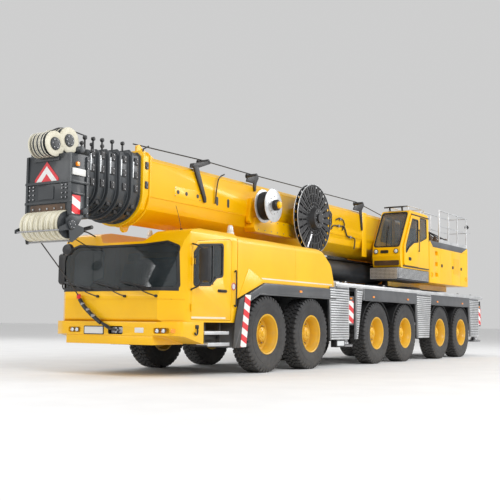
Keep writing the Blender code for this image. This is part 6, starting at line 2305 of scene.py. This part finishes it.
@dataclass
class BoomHead:
    """Head box with its signs, side plates, upper sheaves, lower rollers and rope."""

    start: float = 7.75
    front: float = 8.15
    half: float = 0.45
    roller: Place = (8.13, 0.0, 2.3)
    sheaves: tuple[Place, ...] = ((8.22, 3.52, 0.19), (7.93, 3.62, 0.2))

    def build(self) -> None:
        """Makes each piece."""
        dress_node("boom_head", "boom_head", plain_choice, (BOOM_GREY,), 0.006)
        self.front_face()
        self.sides()
        self.upper_sheaves()
        self.rollers()
        self.guards()
        self.rope()

    def front_face(self) -> None:
        """Chevron sign, welded bars, opening with its wedge block, and bolts."""
        x = self.front
        form = Form(BOOM_GREY)
        for z in (2.95, 2.65):
            form.prism(rounded((-0.47, z - 0.018), (0.47, z + 0.018), 0.006), x - 0.01, x + 0.026, Axis.X)
        for y in (-0.44, 0.44):
            form.prism(rounded((y - 0.02, 2.44), (y + 0.02, 3.37), 0.006), x - 0.01, x + 0.02, Axis.X)
        form.prism(rounded((-0.3, 3.28), (0.23, 3.34), 0.01), x - 0.005, x + 0.02, Axis.X)
        form.prism(rounded((-0.2, 2.7), (0.12, 2.9), 0.02), x - 0.005, x + 0.012, Axis.X)
        form.use(RUST).prism(rounded((-0.36, 2.49), (0.36, 2.62), 0.02), x - 0.02, x + 0.006, Axis.X)
        form.use(STEEL)
        bolts(form, [(x + 0.012, y, z) for y in (-0.38, -0.3, 0.3, 0.38) for z in (2.71, 2.78, 2.85, 2.9)], 0.013, 0.02,
              Axis.X)
        bolts(form, [(x + 0.01, y, 2.555) for y in (-0.3, -0.15, 0.0, 0.15, 0.3)], 0.018, 0.02, Axis.X)
        form.piece("head_front_bars", "boom_head")
        sign = Form(RED).prism(fillet([(-0.28, 2.96), (0.21, 2.96), (0.21, 3.01), (-0.035, 3.275), (-0.28, 3.01)],
                                      0.01), x + 0.001, x + 0.01, Axis.X)
        sign.use(WHITE)
        sign.prism([(-0.255, 2.968), (-0.145, 2.968), (-0.035, 3.09), (0.075, 2.968), (0.185, 2.968), (-0.035, 3.205)],
                   x + 0.008, x + 0.0125, Axis.X)
        sign.piece("chevron_sign", "boom_head", slot="deck_aluminium")

    def sides(self) -> None:
        """Stripes plate, boxes, amber lamp, ribs and pins on both sides."""
        for side, sign in SIDES:
            form = Form(BOOM_GREY)

            def plate(low: Point, high: Point, out: float) -> None:
                """A plate on this side of the head."""
                form.prism(rounded(low, high, 0.012), *beside(sign, self.half - 0.006, self.half + out), Axis.Y)

            plate((7.76, 2.93), (8.14, 2.97), 0.026)
            plate((7.78, 2.44), (7.83, 3.36), 0.02)
            plate((7.86, 2.76), (8.12, 2.79), 0.022)
            form.disc((7.98, sign * 0.47, 3.44), 0.055, 0.1, Axis.Y, 24, 0.008)
            form.disc((7.88, sign * 0.47, 2.52), 0.05, 0.09, Axis.Y, 24, 0.008)
            form.disc((8.13, sign * 0.468, 2.3), 0.075, 0.06, Axis.Y, 28, 0.008)
            form.use(STEEL)
            bolts(form, [(8.13 + u, sign * 0.5, 2.3 + v) for u, v in ring((0, 0), 0.05, 6)], 0.01, 0.014, Axis.Y)
            bolts(form, [(7.805, sign * 0.474, z) for z in (2.5, 2.62, 2.74, 3.06, 3.18, 3.3)], 0.012, 0.016, Axis.Y)
            form.use(WHITE)
            plate((7.86, 3.05), (8.13, 3.15), 0.03)
            form.use(AMBER)
            plate((7.99, 3.19), (8.05, 3.25), 0.03)
            form.piece(f"head_side_{side}", "boom_head", 0.002, slot="boom_grey")
            stripes = Form(SIDE_STRIPES).prism(rounded((7.94, 2.47), (8.11, 2.75), 0.008),
                                               *beside(sign, self.half, self.half + 0.01), Axis.Y)
            stripes.piece(f"head_stripes_{side}", "boom_head")

    @staticmethod
    def grooved(form: Form, centre: Place, radius: float, low: float, high: float, count: int) -> None:
        """A pack of grooved sheaves on one axle.

        Args:
            form: Where they go.
            centre: Middle of the axle.
            radius: Outer radius.
            low: Start across.
            high: End across.
            count: Number of sheaves.
        """
        width = (high - low) / count
        for index in range(count):
            start = low + index * width
            profile = [(0.003, radius * 0.3), (0.003, radius - 0.006), (0.008, radius), (width * 0.22, radius)]
            for step in range(7):
                angle = math.pi * step / 6
                profile.append((width / 2 - width * 0.22 * math.cos(angle),
                                radius - 0.004 - width * 0.36 * math.sin(angle)))
            profile += [(width * 0.78, radius), (width - 0.008, radius), (width - 0.003, radius - 0.006),
                        (width - 0.003, radius * 0.3)]
            form.turned(profile, (centre[0], start, centre[2]), Axis.Y, 48)

    def upper_sheaves(self) -> None:
        """Cream sheaves in the bracket on top, with dark hubs and cheek plates."""
        form = Form(NYLON)
        for x, z, radius, half in ((8.22, 3.52, 0.192, 0.122), (7.93, 3.62, 0.202, 0.102)):
            self.grooved(form, (x, 0.0, z), radius, -half, half, 3 if half > 0.11 else 2)
            form.use(BOOM_GREY)
            form.disc((x, 0.0, z), 0.085, 2 * half + 0.012, Axis.Y, 32, 0.008)
            form.use(STEEL).disc((x, 0.0, z), 0.04, 0.37, Axis.Y, 24, 0.006)
            form.use(NYLON)
        for sign in (1, -1):
            for x, z, radius in self.sheaves:
                form.use(NYLON).turned([(0.168, 0.1), (0.168, radius), (0.19, radius), (0.198, radius - 0.02),
                                        (0.186, 0.12), (0.186, 0.1)], (x, 0, z), Axis.Y, 48, sign < 0)
                form.use(BOOM_GREY).turned([(0.165, 0.0), (0.165, 0.105), (0.2, 0.095), (0.206, 0.0)], (x, 0, z),
                                           Axis.Y, 32, sign < 0)
                form.use(STEEL)
                bolts(form, [(x + u, sign * 0.203, z + v) for u, v in ring((0, 0), 0.065, 6)], 0.011, 0.016, Axis.Y)
        form.use(BOOM_GREY)
        for sign in (1, -1):
            form.rod([(7.8, sign * 0.15, 3.39), (7.78, sign * 0.15, 3.55), (7.74, sign * 0.13, 3.66)], 0.016, 10)
        form.piece("upper_sheaves", "boom_head", slot="sheave_nylon")

    def rollers(self) -> None:
        """Seven grooved lower sheaves, cream with grey end discs."""
        form = Form(NYLON)
        self.grooved(form, self.roller, 0.22, -0.385, 0.385, 7)
        form.use(BOOM_GREY)
        for sign in (1, -1):
            form.turned([(0.386, 0.0), (0.386, 0.2), (0.394, 0.2), (0.398, 0.15), (0.398, 0.0)], self.roller, Axis.Y,
                        48, sign < 0)
        form.use(STEEL).disc(self.roller, 0.062, 0.78, Axis.Y, 28)
        form.piece("lower_sheaves", "head_sheaves", 0.0, ("head_sheaves",), slot="sheave_nylon")

    def guards(self) -> None:
        """Rope guard rods and the small lugs of the head."""
        form = Form(STEEL)
        for x, z in ((7.885, 2.24), (8.1, 2.065), (8.33, 2.205)):
            form.rod([(x, -0.455, z), (x, 0.455, z)], 0.013, 12)
        form.use(BOOM_GREY)
        for sign in (1, -1):
            form.prism(fillet([(8.36, 2.18), (8.36, 2.24), (8.15, 2.34), (7.86, 2.28), (7.86, 2.2), (8.09, 2.04),
                               (8.13, 2.04), (8.17, 2.22)], 0.01), *beside(sign, 0.456, 0.468), Axis.Y)
        form.prism(fillet([(7.76, 2.43), (7.7, 2.34), (7.66, 2.36), (7.7, 2.46)], 0.01), -0.03, 0.03, Axis.Y)
        form.use(BLACK)
        form.rod([(7.5, 0.3, 2.33), (7.5, 0.02, 2.29)], 0.03, 14)
        form.piece("head_guards", "boom_head", slot="bright_steel")

    def rope(self) -> None:
        """Hoist rope over the head, and the parked socket with its straps on the bumper."""
        form = Form(ROPE)
        form.rod(smooth_path([(7.4, 0.04, 3.8), (7.93, 0.04, 3.826), (8.2, 0.04, 3.722)], 8), 0.011, 8)
        form.piece("hoist_rope_head", "boom_head", slot="dark_steel")
        rope = Form(ROPE).rod(smooth_path([(7.95, -0.35, 2.1), (7.3, -0.5, 1.66), (6.8, -0.62, 1.31)], 6), 0.01, 8)
        rope.piece("hoist_rope_parked", "carrier", slot="dark_steel")
        form = Form(BLACK)
        socket = ((6.76, -0.62, 1.24), (6.8, -0.48, 1.12), (6.8, -0.3, 0.98), (6.79, -0.12, 0.86))
        form.tube(socket, 0.034, 12)
        form.tube([(6.79, -0.14, 0.88), (6.77, 0.0, 0.82), (6.76, 0.1, 0.76)], 0.016, 8)
        form.tube([(6.79, -0.1, 0.85), (6.78, 0.05, 0.77), (6.76, 0.19, 0.75)], 0.016, 8)
        for share in (0.2, 0.45, 0.7):
            spot = Vector(socket[0]).lerp(Vector(socket[-1]), share)
            form.use(STEEL).disc((spot.x + 0.025, spot.y, spot.z), 0.04, 0.05, Axis.Z, 16, 0.01)
            form.use(BLACK)
        form.use(RED).turned([(-0.03, 0.0), (-0.03, 0.032), (0.03, 0.036), (0.05, 0.028), (0.055, 0.0)],
                             (6.78, -0.63, 1.28), Axis.Z, 20)
        form.piece("parked_socket", "carrier", slot="reel_black")


@dataclass
class Reels:
    """Large hose reel and the smaller cable drum on the boom's left side."""

    hose: Point = (1.5, 3.07)
    cable: Point = (3.23, 3.14)

    def build(self) -> None:
        """Makes both."""
        self.hose_reel()
        self.cable_drum()

    def hose_reel(self) -> None:
        """Black reel of radial ribs between rings, with the hose wound inside."""
        x, z = self.hose
        form = Form(BLACK)
        form.turned([(0.76, 0.0), (0.76, 0.24), (0.8, 0.245), (0.86, 0.3), (0.94, 0.3), (0.96, 0.245), (1.06, 0.205),
                     (1.06, 0.1), (1.1, 0.095), (1.1, 0.0)], (x, 0, z), Axis.Y, 64)
        for y in (0.868, 0.948):
            for radius in (0.34, 0.52):
                form.turned([(y - 0.006, radius - 0.012), (y - 0.006, radius + 0.012), (y + 0.006, radius + 0.012),
                             (y + 0.006, radius - 0.012)], (x, 0, z), Axis.Y, 64)
        form.use(GALVANISED)
        for y in (0.864, 0.952):
            form.turned([(y - 0.006, 0.716), (y - 0.006, 0.722), (y - 0.003, 0.725), (y + 0.003, 0.725),
                         (y + 0.006, 0.722), (y + 0.006, 0.716), (y + 0.003, 0.713), (y - 0.003, 0.713)], (x, 0, z),
                        Axis.Y, 72)
            form.use(BLACK).turned([(y - 0.008, 0.69), (y - 0.008, 0.715), (y + 0.008, 0.715), (y + 0.008, 0.69)],
                                   (x, 0, z), Axis.Y, 72)
            form.use(GALVANISED)
        form.use(STEEL)
        bolts(form, [(x + u, 1.066, z + v) for u, v in ring((0, 0), 0.155, 10)], 0.012, 0.018, Axis.Y)
        form.piece("hose_reel_hub", "hose_reel", 0.0, ("hose_reel",), slot="reel_black")
        rib = Form(BLACK)
        for depth in (0.868, 0.948):
            rib.prism([(0.24, -0.018), (0.7, -0.068), (0.7, 0.068), (0.24, 0.018)], depth - 0.004, depth + 0.003,
                      Axis.Z)
            rib.prism([(0.24, -0.01), (0.7, -0.012), (0.7, 0.012), (0.24, 0.01)], depth - 0.01, depth + 0.012, Axis.Z)
        ribs = RING.made("hose_reel_ribs", rib, BLACK, 24, place=Matrix.Translation((x, 0, z)) @ Axis.Y.turn())
        settle(ribs, "hose_reel", 0.0, ())
        coil = Form(HOSE)
        for index in range(11):
            radius = 0.32 + index * 0.033
            profile = [(0.908 + 0.026 * math.cos(a), radius + 0.0155 * math.sin(a))
                       for a in [2 * math.pi * i / 8 for i in range(8)]]
            coil.turned(profile, (x, 0, z), Axis.Y, 48)
        coil.piece("hose_reel_coil", "hose_reel")

    def cable_drum(self) -> None:
        """Silver-flanged drum with black winding and a yellow-capped motor."""
        x, z = self.cable
        form = Form(GALVANISED)
        for y in (0.768, 0.99):
            form.turned([(y - 0.008, 0.08), (y - 0.008, 0.318), (y - 0.003, 0.325), (y + 0.003, 0.325),
                         (y + 0.008, 0.318), (y + 0.008, 0.08)], (x, 0, z), Axis.Y, 56)
        form.turned([(0.985, 0.0), (0.985, 0.2), (1.005, 0.19), (1.02, 0.13), (1.02, 0.0)], (x, 0, z), Axis.Y, 48)
        form.use(STEEL)
        bolts(form, [(x + u, 1.01, z + v) for u, v in ring((0, 0), 0.165, 8)], 0.012, 0.02, Axis.Y)
        form.use(BLACK)
        form.turned([(1.015, 0.0), (1.015, 0.105), (1.09, 0.105), (1.11, 0.088), (1.11, 0.0)], (x, 0, z), Axis.Y, 36)
        form.use(YELLOW)
        form.turned([(1.108, 0.0), (1.108, 0.07), (1.145, 0.066), (1.158, 0.05), (1.16, 0.0)], (x, 0, z), Axis.Y, 36)
        form.piece("cable_drum_flanges", "cable_drum", 0.0, ("cable_drum",), slot="reel_black")
        coil = Form(BLACK)
        profile = [(0.778, 0.1)]
        for index in range(12):
            middle = 0.788 + index * 0.0172
            profile += [(middle - 0.0075, 0.266), (middle - 0.003, 0.274), (middle + 0.003, 0.274),
                        (middle + 0.0075, 0.266)]
        profile.append((0.982, 0.1))
        coil.turned(profile, (x, 0, z), Axis.Y, 40)
        coil.piece("cable_drum_coil", "cable_drum")


# ---------------------------------------------------------------- studio


@dataclass
class Studio:
    """Floor, soft lights and the camera."""

    eye: Place = (17.4107, 9.5416, 0.8908)
    ahead: Place = (-0.83938, -0.53713, 0.08329)
    above: Place = (0.07654, 0.03492, 0.99646)
    lens: float = 62.49
    floor_radius: float = 220.0
    lights: tuple = (((14.0, 20.0, 16.0), 10.0, 3150.0), ((22.0, -9.0, 10.0), 9.0, 1100.0),
                     ((-14.0, 16.0, 12.0), 10.0, 2200.0), ((-4.0, -20.0, 16.0), 12.0, 1100.0))

    def build(self) -> None:
        """Makes the floor, the lights and the camera."""
        self.floor()
        self.world()
        for place, size, power in self.lights:
            self.light(place, size, power)
        self.camera()

    def floor(self) -> None:
        """A wide pale floor with a faint variation."""
        made = Form(Paint("studio floor", "", colour=(0.86, 0.86, 0.86), shade=(0.82, 0.82, 0.82), rough=0.75, coat=0.0,
                          dust=0.0, peel=0.0))
        made.prism(ring((0.0, 0.0), self.floor_radius, 64), -0.2, -0.002, Axis.Z)
        made.object("studio_floor")

    def world(self) -> None:
        """Even white light from all round, shown without a film curve so that the paint keeps its colour."""
        world = bpy.data.worlds.new("studio")
        bpy.context.scene.world = world
        world.use_nodes = True
        back = world.node_tree.nodes["Background"]
        back.inputs["Color"].default_value = (1.0, 1.0, 1.0, 1.0)
        back.inputs["Strength"].default_value = 0.62
        bpy.context.scene.view_settings.view_transform = "Standard"

    def light(self, place: Place, size: float, power: float) -> None:
        """A square soft light aimed at the machine.

        Args:
            place: Where it stands.
            size: Side of its square.
            power: Its power in watts.
        """
        data = bpy.data.lights.new("soft light", "AREA")
        data.size = size
        data.energy = power
        lamp = linked("soft light", data)
        lamp.location = place
        lamp.rotation_euler = (Vector((0.0, 0.0, 1.5)) - Vector(place)).to_track_quat("-Z", "Y").to_euler()

    def camera(self) -> None:
        """The camera at the machine's left front corner, low down."""
        data = bpy.data.cameras.new("camera")
        data.lens = self.lens
        data.sensor_width = 36.0
        data.clip_end = 1000.0
        made = linked("camera", data)
        back = -Vector(self.ahead).normalized()
        up = Vector(self.above)
        side = up.cross(back).normalized()
        up = back.cross(side)
        made.matrix_world = Matrix((side, up, back)).transposed().to_4x4()
        made.location = self.eye
        bpy.context.scene.camera = made


def main() -> None:
    """Builds and dresses the crane."""
    logging.basicConfig(level=logging.INFO, format="%(message)s")
    Studio().build()
    for assembly in (RoadWheels, CarrierFrame, CarrierCab, EngineHood, DeckAndFenders, Superstructure, OperatorCab,
                     Boom, BoomHead, Reels):
        assembly().build()


if __name__ == "__main__":
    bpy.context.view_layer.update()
    main()
